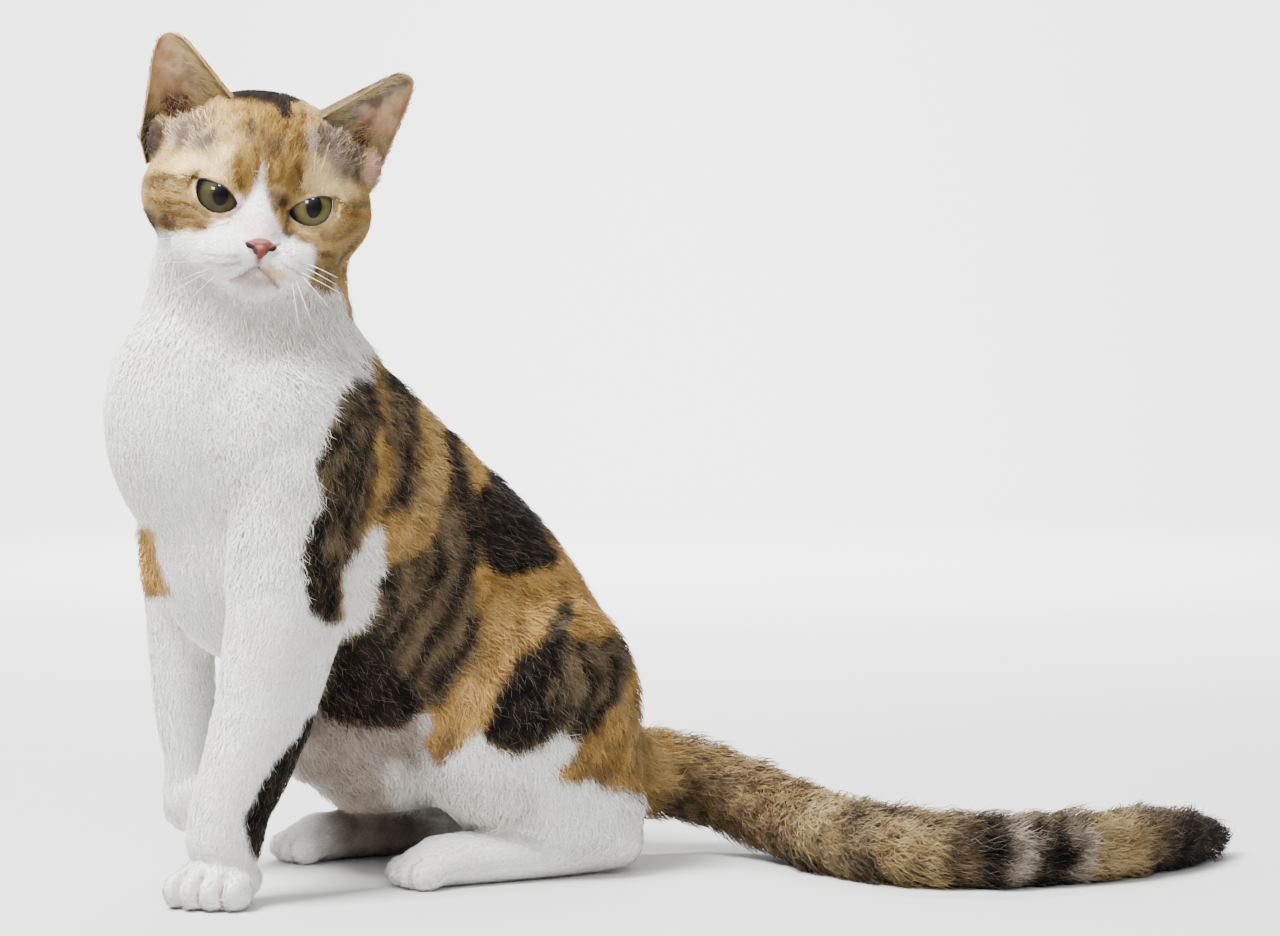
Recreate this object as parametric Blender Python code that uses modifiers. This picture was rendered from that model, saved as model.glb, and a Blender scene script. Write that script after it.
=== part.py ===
"""A seated calico cat of the wirehair kind, life size, as a still museum model.

The cat faces -Y, its left side is +X, and it sits on the floor z = 0. Its head is turned far to
its left. All sizes below are in centimetres and are turned into metres when a shape is made.
The flesh is blended from simple masses in three finenesses (body, head, paws) and then parted
into named pieces by thin cuts.
"""

import math

import bmesh
import bpy
from mathutils import Matrix, Vector

CM = 0.01
GAP = 0.03          # between touching pieces
SIDES = {1: "left", -1: "right"}

# Fineness of the blended masses
BODY_VOXEL = 0.22
HEAD_VOXEL = 0.11
PAW_VOXEL = 0.12

# Head: its place and turn
HEAD_CENTRE = (1.6, -14.4, 29.6)
HEAD_YAW = 71
HEAD_PITCH = 5
HEAD_ROLL = 8
EYE_X = 1.97
EYE_Y = -2.0
EYE_Z = -0.42
EYE_RADIUS = 1.15
LID_THICKNESS = 0.13

EAR_ROOT = {1: (3.35, 2.1), -1: (-3.1, 2.2)}
EAR_TIP = {1: (5.65, 5.6), -1: (-4.85, 5.9)}
EAR_HEIGHT = 4.3
EAR_HALF_WIDTH = 2.4
EAR_CUP = 1.5
EAR_WALL = 0.17
EAR_TURN = {1: 34, -1: 22}

# Feet: place on the floor or in the air, and turn outwards in degrees
FORE_PAW_LEFT = (5.5, -18.15, 0)
FORE_PAW_LEFT_TURN = 40
FORE_PAW_RIGHT = (-3.35, -15.8, 3.5)
FORE_PAW_RIGHT_TURN = 10
HIND_FOOT_X = {1: 4.9, -1: -4.9}
HIND_TOES_Y = {1: -8.3, -1: -9.3}
HEEL_Y = {1: 0.9, -1: 0.3}


def clear_scene():
    for obj in list(bpy.data.objects):
        bpy.data.objects.remove(obj)


def collection(name):
    made = bpy.data.collections.new(name)
    bpy.context.scene.collection.children.link(made)
    return made


def material(name, colour, roughness):
    made = bpy.data.materials.new(name)
    made.use_nodes = True
    shader = made.node_tree.nodes["Principled BSDF"]
    shader.inputs["Base Color"].default_value = (*colour, 1)
    shader.inputs["Roughness"].default_value = roughness
    shader.inputs["Metallic"].default_value = 0
    made.diffuse_color = (*colour, 1)
    return made


def object_from(name, mesh, matrix=None):
    made = bpy.data.objects.new(name, mesh)
    bpy.context.scene.collection.objects.link(made)
    if matrix is not None:
        mesh.transform(matrix)
    return made


def ball(centre, radii, turn=(0, 0, 0), segments=28):
    """An ellipsoid, turned by angles in degrees about X, Y and Z."""
    mesh = bpy.data.meshes.new("ball")
    bm = bmesh.new()
    bmesh.ops.create_uvsphere(bm, u_segments=segments, v_segments=segments // 2, radius=1)
    bm.to_mesh(mesh)
    bm.free()
    angles = [math.radians(a) for a in turn]
    rotation = (Matrix.Rotation(angles[2], 4, "Z") @ Matrix.Rotation(angles[1], 4, "Y")
                @ Matrix.Rotation(angles[0], 4, "X"))
    scale = Matrix.Diagonal((*[r * CM for r in radii], 1))
    place = Matrix.Translation(Vector(centre) * CM)
    return object_from("ball", mesh, place @ rotation @ scale)


def smooth_stations(stations, steps):
    """Catmull-Rom values between stations, each a list of numbers of one length."""
    padded = [stations[0], *stations, stations[-1]]
    values = []
    for i in range(1, len(padded) - 2):
        a, b, c, d = padded[i - 1:i + 3]
        for k in range(steps):
            t = k / steps
            values.append([
                0.5 * (2 * q + (r - p) * t + (2 * p - 5 * q + 4 * r - s) * t * t
                       + (3 * q - p - 3 * r + s) * t ** 3)
                for p, q, r, s in zip(a, b, c, d)
            ])
    values.append(list(stations[-1]))
    return values


def loft(stations, across=(1, 0, 0), sides=28, steps=5, round_ends=True):
    """A limb or trunk of elliptical sections. A station is x, y, z, half width, half depth."""
    rows = smooth_stations(stations, steps)
    points = [Vector(r[:3]) for r in rows]
    rings = []
    for i, row in enumerate(rows):
        along = (points[min(i + 1, len(rows) - 1)] - points[max(i - 1, 0)]).normalized()
        side = (Vector(across) - along * along.dot(Vector(across))).normalized()
        front = along.cross(side)
        rings.append((points[i], along, side, front, row[3], row[4]))
    if round_ends:
        rings = round_end(rings[0], -1)[::-1] + rings + round_end(rings[-1], 1)
    bm = bmesh.new()
    loops = []
    for centre, along, side, front, wide, deep in rings:
        loop = []
        for k in range(sides):
            angle = 2 * math.pi * k / sides
            offset = side * (wide * math.cos(angle)) + front * (deep * math.sin(angle))
            loop.append(bm.verts.new((centre + offset) * CM))
        loops.append(loop)
    for low, high in zip(loops, loops[1:]):
        for k in range(sides):
            n = (k + 1) % sides
            bm.faces.new((low[k], low[n], high[n], high[k]))
    bm.faces.new(loops[0][::-1])
    bm.faces.new(loops[-1])
    bmesh.ops.recalc_face_normals(bm, faces=bm.faces)
    mesh = bpy.data.meshes.new("loft")
    bm.to_mesh(mesh)
    bm.free()
    return object_from("loft", mesh)


def round_end(ring, sign, count=4):
    """Rings that shrink past an end, so that it closes as a dome."""
    centre, along, side, front, wide, deep = ring
    reach = min(wide, deep)
    made = []
    for k in range(1, count + 1):
        angle = 0.5 * math.pi * k / (count + 0.35)
        shrink = math.cos(angle)
        made.append((centre + along * (sign * reach * math.sin(angle)), along, side, front,
                     wide * shrink, deep * shrink))
    return made


def join(name, pieces):
    """One object of several loose shells."""
    bm = bmesh.new()
    for piece in pieces:
        bm.from_mesh(piece.data)
        bpy.data.objects.remove(piece)
    mesh = bpy.data.meshes.new(name)
    bm.to_mesh(mesh)
    bm.free()
    return object_from(name, mesh)


def apply_modifiers(obj):
    graph = bpy.context.evaluated_depsgraph_get()
    mesh = bpy.data.meshes.new_from_object(obj.evaluated_get(graph))
    obj.modifiers.clear()
    obj.data = mesh
    return obj


def blend(name, pieces, voxel, rounds, triangles):
    """Melts overlapping masses into one skin, relaxes it and thins it to a number of triangles."""
    obj = join(name, pieces)
    remesh = obj.modifiers.new("melt", "REMESH")
    remesh.mode = "VOXEL"
    remesh.voxel_size = voxel * CM
    relax = obj.modifiers.new("relax", "SMOOTH")
    relax.factor = 0.5
    relax.iterations = rounds
    apply_modifiers(obj)
    if triangles:
        thin(obj, triangles)
    return obj


def thin(obj, triangles):
    count = sum(len(p.vertices) - 2 for p in obj.data.polygons)
    if count > triangles:
        decimate = obj.modifiers.new("thin", "DECIMATE")
        decimate.ratio = triangles / count
        apply_modifiers(obj)


def head_matrix():
    turn = (Matrix.Rotation(math.radians(HEAD_YAW), 4, "Z")
            @ Matrix.Rotation(math.radians(HEAD_PITCH), 4, "X")
            @ Matrix.Rotation(math.radians(HEAD_ROLL), 4, "Y"))
    return Matrix.Translation(Vector(HEAD_CENTRE) * CM) @ turn


# Stations along the trunk: x, y, z, half width, half depth
TRUNK = [
    (0.0, 1.2, 4.4, 4.4, 3.4),
    (0.0, -1.0, 7.0, 5.5, 5.1),
    (0.0, -4.7, 10.2, 5.9, 6.5),
    (0.0, -8.4, 13.3, 5.8, 6.75),
    (0.0, -11.3, 16.6, 5.5, 6.3),
    (0.0, -13.3, 19.8, 5.2, 5.6),
    (0.0, -14.1, 22.6, 4.8, 4.8),
    (0.3, -14.3, 25.2, 4.3, 4.2),
    (0.9, -14.3, 27.6, 4.0, 4.0),
]

TAIL = [
    (0.0, 2.4, 4.0, 2.3, 2.3),
    (0.6, 5.4, 3.7, 2.05, 2.05),
    (1.9, 8.0, 2.95, 1.9, 1.9),
    (5.6, 9.2, 2.0, 1.84, 1.84),
    (10.2, 9.0, 1.7, 1.8, 1.8),
    (14.6, 10.0, 1.58, 1.74, 1.74),
    (16.9, 12.6, 1.53, 1.68, 1.68),
    (17.5, 15.9, 1.5, 1.64, 1.64),
    (17.2, 19.2, 1.46, 1.58, 1.58),
    (16.0, 22.6, 1.32, 1.42, 1.42),
    (14.6, 25.6, 1.05, 1.08, 1.08),
    (13.9, 27.3, 0.9, 0.6, 0.6),
]

FORELEG_LEFT = [
    (4.2, -13.8, 18.0, 2.3, 3.1),
    (4.7, -14.2, 14.6, 2.2, 2.9),
    (5.1, -14.9, 11.6, 2.1, 2.55),
    (5.2, -15.4, 9.8, 2.0, 2.35),
    (5.25, -15.9, 7.9, 1.85, 2.15),
    (5.35, -16.8, 5.6, 1.7, 1.9),
    (5.4, -17.45, 4.1, 1.55, 1.7),
    (5.45, -17.8, 2.7, 1.5, 1.65),
]

FORELEG_RIGHT = [
    (-4.0, -14.4, 18.0, 2.4, 3.0),
    (-4.1, -15.1, 14.6, 2.0, 2.3),
    (-3.7, -15.7, 11.7, 1.6, 1.7),
    (-3.6, -15.75, 9.2, 1.4, 1.45),
    (-3.5, -15.7, 7.0, 1.25, 1.3),
    (-3.4, -15.55, 5.4, 1.1, 1.15),
    (-3.4, -15.5, 4.4, 1.1, 1.15),
]


def trunk_masses():
    pieces = [
        loft(TRUNK),
        ball((0.0, -15.5, 19.6), (4.8, 5.0, 6.2), turn=(8, 0, 0)),
        ball((0.0, -14.9, 14.4), (4.1, 3.5, 5.0), turn=(10, 0, 0)),
        ball((0.0, -7.0, 7.4), (5.2, 5.2, 4.4), turn=(-30, 0, 0)),
        ball((0.0, -8.6, 5.4), (3.6, 3.4, 2.6), turn=(-20, 0, 0)),
    ]
    for side in SIDES:
        pieces += [
            ball((side * 3.4, -13.6, 18.4), (2.9, 4.2, 5.0), turn=(20, 0, 0)),
            ball((side * 3.9, -3.0, 7.2), (3.5, 5.5, 5.6), turn=(-25, 0, 0)),
            ball((side * 4.5, -2.7, 4.1), (2.7, 5.2, 2.6), turn=(-12, 0, 0)),
        ]
    return pieces


def trunk_and_limbs():
    trunk = blend("trunk", trunk_masses(), BODY_VOXEL, 30, None)
    return [trunk, loft(FORELEG_LEFT), loft(FORELEG_RIGHT), loft(TAIL, across=(0, 0, 1))]


def on_head(piece):
    """Moves a shape from the head's own axes to its place."""
    piece.data.transform(head_matrix())
    return piece


def toes(place, turn, size=1.0):
    """Four toes and the pad mass behind them, in axes where the paw points to -Y."""
    made = [ball((0, 0.25, 1.1 * size), (1.75 * size, 1.9 * size, 1.15 * size))]
    for k in (-1.5, -0.5, 0.5, 1.5):
        reach = (-0.9 - 0.45 * (1 - abs(k) / 1.5)) * size
        made.append(ball((k * 0.9 * size, reach, 0.74 * size),
                         (0.6 * size, 1.0 * size, 0.82 * size), turn=(0, 0, -6 * k)))
    matrix = (Matrix.Translation(Vector(place) * CM)
              @ Matrix.Rotation(math.radians(turn), 4, "Z"))
    for piece in made:
        piece.data.transform(matrix)
    return made


def fore_paw_left():
    return [loft(FORELEG_LEFT[4:])] + toes(FORE_PAW_LEFT, FORE_PAW_LEFT_TURN)


def fore_paw_right():
    """The lifted paw hangs from the wrist with its toes down."""
    hanging = toes((0, 0, 0), 0, size=0.78)
    droop = (Matrix.Translation(Vector(FORE_PAW_RIGHT) * CM)
             @ Matrix.Rotation(math.radians(FORE_PAW_RIGHT_TURN), 4, "Z")
             @ Matrix.Rotation(math.radians(80), 4, "X")
             @ Matrix.Translation(Vector((0, 0.1, -0.9)) * CM))
    for piece in hanging:
        piece.data.transform(droop)
    return [loft(FORELEG_RIGHT[3:])] + hanging


def hind_foot(side):
    x, toe_y, heel_y = HIND_FOOT_X[side], HIND_TOES_Y[side], HEEL_Y[side]
    sole = [
        (x + side * 0.1, heel_y, 1.45, 1.35, 1.35),
        (x + side * 0.1, 0.65 * heel_y + 0.35 * toe_y, 1.25, 1.4, 1.25),
        (x, 0.3 * heel_y + 0.7 * toe_y, 1.1, 1.45, 1.15),
        (x, toe_y + 0.6, 1.05, 1.4, 1.1),
    ]
    return [loft(sole)] + toes((x, toe_y + 0.3, 0), 0, size=0.86)


# Masses of the head: centre, radii, and whether there is a twin on the other side
HEAD_MASSES = [
    ((0.0, 0.7, 0.85), (4.25, 4.2, 3.5), False),
    ((2.5, -0.1, -1.0), (2.5, 2.9, 2.75), True),
    ((0.0, -1.0, -0.9), (3.7, 2.15, 2.7), False),
    ((0.0, -1.4, -2.9), (2.8, 2.5, 1.6), False),
    ((0.0, -2.5, -2.5), (2.4, 1.7, 1.6), False),
    ((0.0, 2.0, -1.8), (3.7, 2.9, 2.8), False),
    ((2.0, -2.1, -2.5), (1.5, 1.5, 1.3), True),
]

FACE_MASSES = [
    ((2.0, -1.6, -0.1), (1.9, 1.45, 1.6), True),
    ((1.1, -3.25, -2.8), (1.45, 1.45, 1.1), True),
    ((0.0, -3.0, -3.75), (1.3, 1.15, 0.85), False),
]

NOSE_BRIDGE = [
    (0, -2.2, 1.4, 1.6, 0.9),
    (0, -2.6, -0.2, 1.15, 0.85),
    (0, -3.25, -1.4, 1.0, 0.85),
    (0, -3.7, -1.95, 0.85, 0.75),
]

NOSE_LEATHER = [
    (0, -4.3, -1.95, 0.52, 0.26),
    (0, -4.46, -2.2, 0.64, 0.34),
    (0, -4.46, -2.5, 0.44, 0.32),
    (0, -4.34, -2.84, 0.14, 0.22),
]

NOSTRIL = (0.36, -4.76, -2.28)
NOSTRIL_RADII = (0.12, 0.3, 0.09)
NOSTRIL_TURN = 35

# Line of the mouth on one half of the face, and the groove from it up to the nose: x, z
MOUTH = [(1.3, -3.95), (0.95, -3.8), (0.5, -3.52), (0.2, -3.28), (0.0, -3.2), (0.0, -2.85)]
MOUTH_DEPTH = 0.16
MOUTH_WIDTH = 0.2

EYE_OPENING = [
    (-0.92, -0.36), (-0.62, 0.12), (-0.17, 0.5), (0.35, 0.66), (0.75, 0.6), (0.92, 0.38),
    (0.9, -0.02), (0.68, -0.4), (0.3, -0.62), (-0.1, -0.68), (-0.5, -0.62), (-0.78, -0.5),
]


def masses(table):
    pieces = []
    for centre, radii, twin in table:
        for side in (1, -1) if twin else (1,):
            place = (side * centre[0], centre[1], centre[2])
            pieces.append(on_head(ball(place, radii)))
    return pieces


def head_pieces():
    skull = blend("skull", masses(HEAD_MASSES) + [loft(TRUNK[-4:])], 0.16, 26, None)
    pieces = [skull, on_head(loft(NOSE_BRIDGE))] + masses(FACE_MASSES)
    for side in SIDES:
        pieces.append(on_head(ball(eye_centre(side), (EYE_RADIUS + LID_THICKNESS,) * 3)))
    return pieces


def eye_centre(side):
    return (side * EYE_X, EYE_Y, EYE_Z)


def eyeball(side, radius):
    return on_head(ball(eye_centre(side), (radius,) * 3, turn=(90, 0, 0), segments=18))


def eye_opening(side):
    """A prism with the outline between the lids, from the eye's middle out past the face."""
    bm = bmesh.new()
    ends = []
    for depth in (0.3, -3.2):
        ends.append([
            bm.verts.new(Vector((side * (EYE_X + x), EYE_Y + depth, EYE_Z + z)) * CM)
            for x, z in EYE_OPENING
        ])
    bm.faces.new(ends[0])
    bm.faces.new(ends[1][::-1])
    count = len(EYE_OPENING)
    for k in range(count):
        n = (k + 1) % count
        bm.faces.new((ends[0][k], ends[1][k], ends[1][n], ends[0][n]))
    bmesh.ops.recalc_face_normals(bm, faces=bm.faces)
    mesh = bpy.data.meshes.new("opening")
    bm.to_mesh(mesh)
    bm.free()
    return on_head(object_from("opening", mesh))


def nose_leather(extra):
    """The bare skin of the nose, made larger by extra for the socket that it sits in."""
    stations = [(*s[:3], s[3] + extra, s[4] + extra) for s in NOSE_LEATHER]
    return on_head(loft(stations, sides=12, steps=3))


def distance_to_line(x, z, line):
    """Distance of a point to a line of several stretches, on the plane of the face."""
    point = Vector((x, z))
    nearest = 10.0
    for start, end in zip(line, line[1:]):
        a, b = Vector(start), Vector(end)
        t = max(0.0, min(1.0, (point - a).dot(b - a) / (b - a).length_squared))
        nearest = min(nearest, (a.lerp(b, t) - point).length)
    return nearest


def crease_mouth(head):
    """Presses the line of the mouth into the face."""
    matrix = head_matrix()
    inverse = matrix.inverted()
    inward = matrix.to_3x3() @ Vector((0, 1, 0))
    for vertex in head.data.vertices:
        x, y, z = (inverse @ vertex.co) / CM
        if y < -2.0:
            near = distance_to_line(abs(x), z, MOUTH) / MOUTH_WIDTH
            if near < 1:
                vertex.co += inward * (MOUTH_DEPTH * CM * (1 - near * near) ** 2)


def ear(side):
    """A shell with a C-shaped section that narrows to a round tip."""
    root = Vector((EAR_ROOT[side][0], 0.35, EAR_ROOT[side][1]))
    tip = Vector((EAR_TIP[side][0], 0.1, EAR_TIP[side][1]))
    up = (tip - root).normalized()
    wide = Vector((side * 0.69, 0, -0.725))
    wide = (wide - up * wide.dot(up)).normalized()
    back = up.cross(wide) * side
    if back.y < 0:
        back = -back
    turn = Matrix.Rotation(math.radians(side * EAR_TURN[side]), 3, up)
    wide, back = turn @ wide, turn @ back
    rows, columns = 10, 11
    bm = bmesh.new()
    grid = []
    for i in range(rows):
        s = -0.3 + 1.3 * math.sin(0.5 * math.pi * i / (rows - 1))
        rise = max(s, 0)
        keep = max((1 - 0.95 * rise + 0.24 * rise ** 2) * (1 - rise ** 8) ** 0.5, 0.04)
        line = []
        for j in range(columns):
            angle = math.radians(92) * (2 * j / (columns - 1) - 1)
            point = (root + up * (EAR_HEIGHT * s) + wide * (EAR_HALF_WIDTH * keep * math.sin(angle))
                     + back * (EAR_CUP * keep * math.cos(angle)))
            line.append(bm.verts.new(point * CM))
        grid.append(line)
    for low, high in zip(grid, grid[1:]):
        for j in range(columns - 1):
            bm.faces.new((low[j], low[j + 1], high[j + 1], high[j]))
    mesh = bpy.data.meshes.new("ear")
    bm.to_mesh(mesh)
    bm.free()
    made = on_head(object_from("ear", mesh))
    wall = made.modifiers.new("wall", "SOLIDIFY")
    wall.thickness = EAR_WALL * CM
    wall.offset = 0
    apply_modifiers(made)
    recalculate(made)
    return made


def recalculate(obj):
    bm = bmesh.new()
    bm.from_mesh(obj.data)
    bmesh.ops.remove_doubles(bm, verts=bm.verts, dist=0.00002)
    bmesh.ops.recalc_face_normals(bm, faces=bm.faces)
    bm.to_mesh(obj.data)
    bm.free()


def copy_of(obj, name="copy"):
    return object_from(name, obj.data.copy())


def boolean(obj, other, operation, keep_other=False):
    modifier = obj.modifiers.new("cut", "BOOLEAN")
    modifier.operation = operation
    modifier.object = other
    apply_modifiers(obj)
    if not keep_other:
        bpy.data.objects.remove(other)
    return obj


def swollen(obj, by):
    made = copy_of(obj, "swollen")
    grow = made.modifiers.new("grow", "DISPLACE")
    grow.strength = by * CM
    grow.mid_level = 0
    return apply_modifiers(made)


def cuboid(point, direction, up, half_sizes, length):
    """A box from an end face around point, reaching along direction, with half sizes across and up."""
    along = Vector(direction).normalized()
    rise = (Vector(up) - along * along.dot(Vector(up))).normalized()
    across = along.cross(rise)
    mesh = bpy.data.meshes.new("cuboid")
    bm = bmesh.new()
    bmesh.ops.create_cube(bm, size=2)
    bm.to_mesh(mesh)
    bm.free()
    axes = Matrix((across, along, rise)).transposed().to_4x4()
    centre = Vector(point) + along * (length / 2)
    scale = Matrix.Diagonal((half_sizes[0] * CM, length / 2 * CM, half_sizes[1] * CM, 1))
    return object_from("cuboid", mesh, Matrix.Translation(centre * CM) @ axes @ scale)


def keep_largest(obj):
    """Drops every loose scrap but the biggest."""
    bm = bmesh.new()
    bm.from_mesh(obj.data)
    left = set(bm.verts)
    groups = []
    while left:
        stack = [left.pop()]
        group = set(stack)
        while stack:
            vert = stack.pop()
            for edge in vert.link_edges:
                other = edge.other_vert(vert)
                if other in left:
                    left.discard(other)
                    group.add(other)
                    stack.append(other)
        groups.append(group)
    groups.sort(key=len)
    scraps = [v for group in groups[:-1] for v in group]
    bmesh.ops.delete(bm, geom=scraps, context="VERTS")
    bm.to_mesh(obj.data)
    bm.free()
    return obj


def part_off(whole, inner, outer):
    """Takes the piece of a whole inside one shape, and removes a wider shape from the whole."""
    piece = boolean(copy_of(whole), inner, "INTERSECT")
    keep_largest(boolean(whole, outer, "DIFFERENCE"))
    return keep_largest(piece)


def part_off_box(whole, point, direction, up, half_sizes, length):
    start = Vector(point) - Vector(direction).normalized() * GAP
    wider = [h + GAP for h in half_sizes]
    return part_off(whole, cuboid(point, direction, up, half_sizes, length),
                    cuboid(start, direction, up, wider, length + 2 * GAP))


def part_off_thigh(whole, side):
    """The hind leg is what a large ball beside the rump takes off the body."""
    centre = (side * THIGH_CENTRE[0], *THIGH_CENTRE[1:])
    wider = [r + GAP for r in THIGH_RADII]
    return part_off(whole, ball(centre, THIGH_RADII), ball(centre, wider))


def flatten(obj):
    """Cuts what sinks below the floor, which leaves flats at one level."""
    floor = cuboid((0, 0, 0), (0, 0, -1), (0, 1, 0), (60, 60), 5)
    return boolean(obj, floor, "DIFFERENCE")


def cut_by_plane(obj, point, normal, keep_beyond=True):
    """Keeps the side of a plane that its normal points to, or the other one."""
    side = Vector(normal) * (-1 if keep_beyond else 1)
    block = cuboid(point, side, (0, 1, 0), (30, 30), 60)
    return keep_largest(boolean(obj, block, "DIFFERENCE"))


# Where the whole body is parted. A plane is a point and the normal that points up the body or
# down the leg; a box has the centre of its end face, direction, half sizes and length.
NECK_TOP = ((1.6, -14.4, 25.5), (0.26, -0.15, 0.95))
NECK_BOTTOM = ((0.0, -14.0, 23.0), (0.0, -0.1, 0.99))
WRIST = {
    1: ((5.4, -17.3, 4.4), (0.05, -0.33, -0.94)),
    -1: ((-3.25, -15.95, 5.3), (0.05, -0.12, -0.99)),
}
THIGH_CENTRE = (8.6, -2.6, 5.2)
THIGH_RADII = (5.2, 6.4, 6.0)
FORELEG_BOXES = {
    1: ((5.05, -15.2, 11.4), (0.05, -0.29, -0.96), (2.4, 2.75), 13),
    -1: ((-3.7, -15.7, 11.6), (0.05, 0.02, -1.0), (2.1, 2.2), 12),
}
TAIL_BOXES = {
    "tail_tip": ((18.2, 15.6, 1.6), (0.15, 1, 0), (8, 6), 16),
    "tail_bend": ((9.6, 9.2, 1.9), (1, 0.25, 0), (7, 6), 13),
    "tail_middle": ((2.6, 6.9, 2.8), (0.9, 0.42, -0.12), (5, 5), 9),
    "tail_root": ((0.0, 3.6, 3.5), (0.1, 1, -0.1), (4, 3.4), 7),
}

# How many triangles each blended mass is thinned to, before the cuts add some
BODY_TRIANGLES = 4700
HEAD_TRIANGLES = 4200
HIND_FOOT_TRIANGLES = 600
FORE_PAW_TRIANGLES = {1: 800, -1: 620}

# Colour, and roughness, of each kind of surface
SURFACES = {
    "white": ((0.86, 0.85, 0.82), 0.8),
    "ginger": ((0.62, 0.40, 0.19), 0.8),
    "tabby": ((0.20, 0.16, 0.13), 0.8),
    "nose_skin": ((0.66, 0.36, 0.31), 0.5),
    "eyeball": ((0.36, 0.33, 0.14), 0.1),
    "ear_skin": ((0.58, 0.44, 0.38), 0.8),
}


def shifted(plane, step):
    point, normal = plane
    return (Vector(point) + Vector(normal).normalized() * step, normal)


def build_body():
    """The trunk with its limbs and tail, the hind feet, and what is parted off."""
    nodes = {}
    body = blend("torso", trunk_and_limbs(), BODY_VOXEL, 24, BODY_TRIANGLES)
    flatten(body)
    for side, word in SIDES.items():
        foot = blend("hindfoot", hind_foot(side), PAW_VOXEL, 4, HIND_FOOT_TRIANGLES)
        flatten(foot)
        boolean(body, swollen(foot, GAP), "DIFFERENCE")
        keep_largest(body)
        nodes["hindfoot_" + word] = (foot, "white")

    cut_by_plane(body, *shifted(NECK_TOP, -GAP / 2), keep_beyond=False)
    neck = part_off_box(body, *NECK_BOTTOM, (0, 1, 0), (14, 14), 12)
    nodes["neck"] = (neck, "white")
    for name, box in TAIL_BOXES.items():
        point, direction, half_sizes, length = box
        piece = part_off_box(body, point, direction, (0, 0, 1), half_sizes, length)
        nodes[name] = (piece, "tabby")
    for side, word in SIDES.items():
        nodes["hindleg_" + word] = (part_off_thigh(body, side), "ginger")
        point, direction, half_sizes, length = FORELEG_BOXES[side]
        leg = part_off_box(body, point, direction, (0, -1, 0), half_sizes, length)
        cut_by_plane(leg, *shifted(WRIST[side], -GAP / 2), keep_beyond=False)
        nodes["foreleg_" + word] = (leg, "white")
    nodes["torso"] = (body, "tabby")
    return nodes


def build_fore_paw(side):
    pieces = fore_paw_left() if side > 0 else fore_paw_right()
    paw = blend("forepaw", pieces, PAW_VOXEL, 4, FORE_PAW_TRIANGLES[side])
    flatten(paw)
    return cut_by_plane(paw, *shifted(WRIST[side], GAP / 2))


def build_head():
    head = blend("head", head_pieces(), HEAD_VOXEL, 15, None)
    crease_mouth(head)
    thin(head, HEAD_TRIANGLES)
    for side in SIDES:
        boolean(head, eyeball(side, EYE_RADIUS + GAP), "DIFFERENCE")
        boolean(head, eye_opening(side), "DIFFERENCE")
    boolean(head, nose_leather(GAP), "DIFFERENCE")
    return cut_by_plane(head, *shifted(NECK_TOP, GAP / 2))


def build_nose():
    leather = nose_leather(0)
    for side in SIDES:
        nostril = ball((side * NOSTRIL[0], *NOSTRIL[1:]), NOSTRIL_RADII,
                       turn=(0, side * NOSTRIL_TURN, 0), segments=8)
        boolean(leather, on_head(nostril), "DIFFERENCE")
    return leather


def centre_on_floor(objects):
    """Moves all by one step so that the box around them stands over the origin on z = 0."""
    points = [v.co for obj in objects for v in obj.data.vertices]
    low = [min(p[k] for p in points) for k in range(3)]
    high = [max(p[k] for p in points) for k in range(3)]
    step = Matrix.Translation((-(low[0] + high[0]) / 2, -(low[1] + high[1]) / 2, -low[2]))
    for obj in objects:
        obj.data.transform(step)


def finish(name, obj, surface, target):
    """Names a node, gives it a material of its own and files it in the part's collection."""
    obj.name = name
    obj.data.name = name
    obj.data.materials.clear()
    obj.data.materials.append(material(name + "_surface", *SURFACES[surface]))
    obj.data.shade_smooth()
    bpy.context.scene.collection.objects.unlink(obj)
    target.objects.link(obj)


def main():
    clear_scene()
    nodes = build_body()
    head = build_head()
    nodes["head"] = (head, "ginger")
    nodes["nose"] = (build_nose(), "nose_skin")
    clear_of_head = swollen(head, GAP)
    for side, word in SIDES.items():
        nodes["forepaw_" + word] = (build_fore_paw(side), "white")
        nodes["eye_" + word] = (eyeball(side, EYE_RADIUS), "eyeball")
        shell = boolean(ear(side), clear_of_head, "DIFFERENCE", keep_other=True)
        nodes["ear_" + word] = (keep_largest(shell), "ear_skin")
    bpy.data.objects.remove(clear_of_head)

    centre_on_floor([obj for obj, _ in nodes.values()])
    part = collection("wirehair_cat")
    for name, (obj, surface) in nodes.items():
        finish(name, obj, surface, part)


main()
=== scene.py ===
"""Looks of a seated calico cat of the wirehair kind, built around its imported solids.

The skin is blended again from the masses that the solids come from and moved inwards by the depth
of the coat. The coat is made of short closed tufts that follow its lie. Sizes are in centimetres
in the cat's own axes (it faces -Y, its left is +X) until place() turns them into the frame's. The
head, each ear and each paw have axes of their own. The markings that the photograph shows are
outlines and lines in its pixels, seen from its camera.
"""

import math

import bmesh
import bpy
import numpy as np
from mathutils import Matrix, Vector
from mathutils.bvhtree import BVHTree


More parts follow.
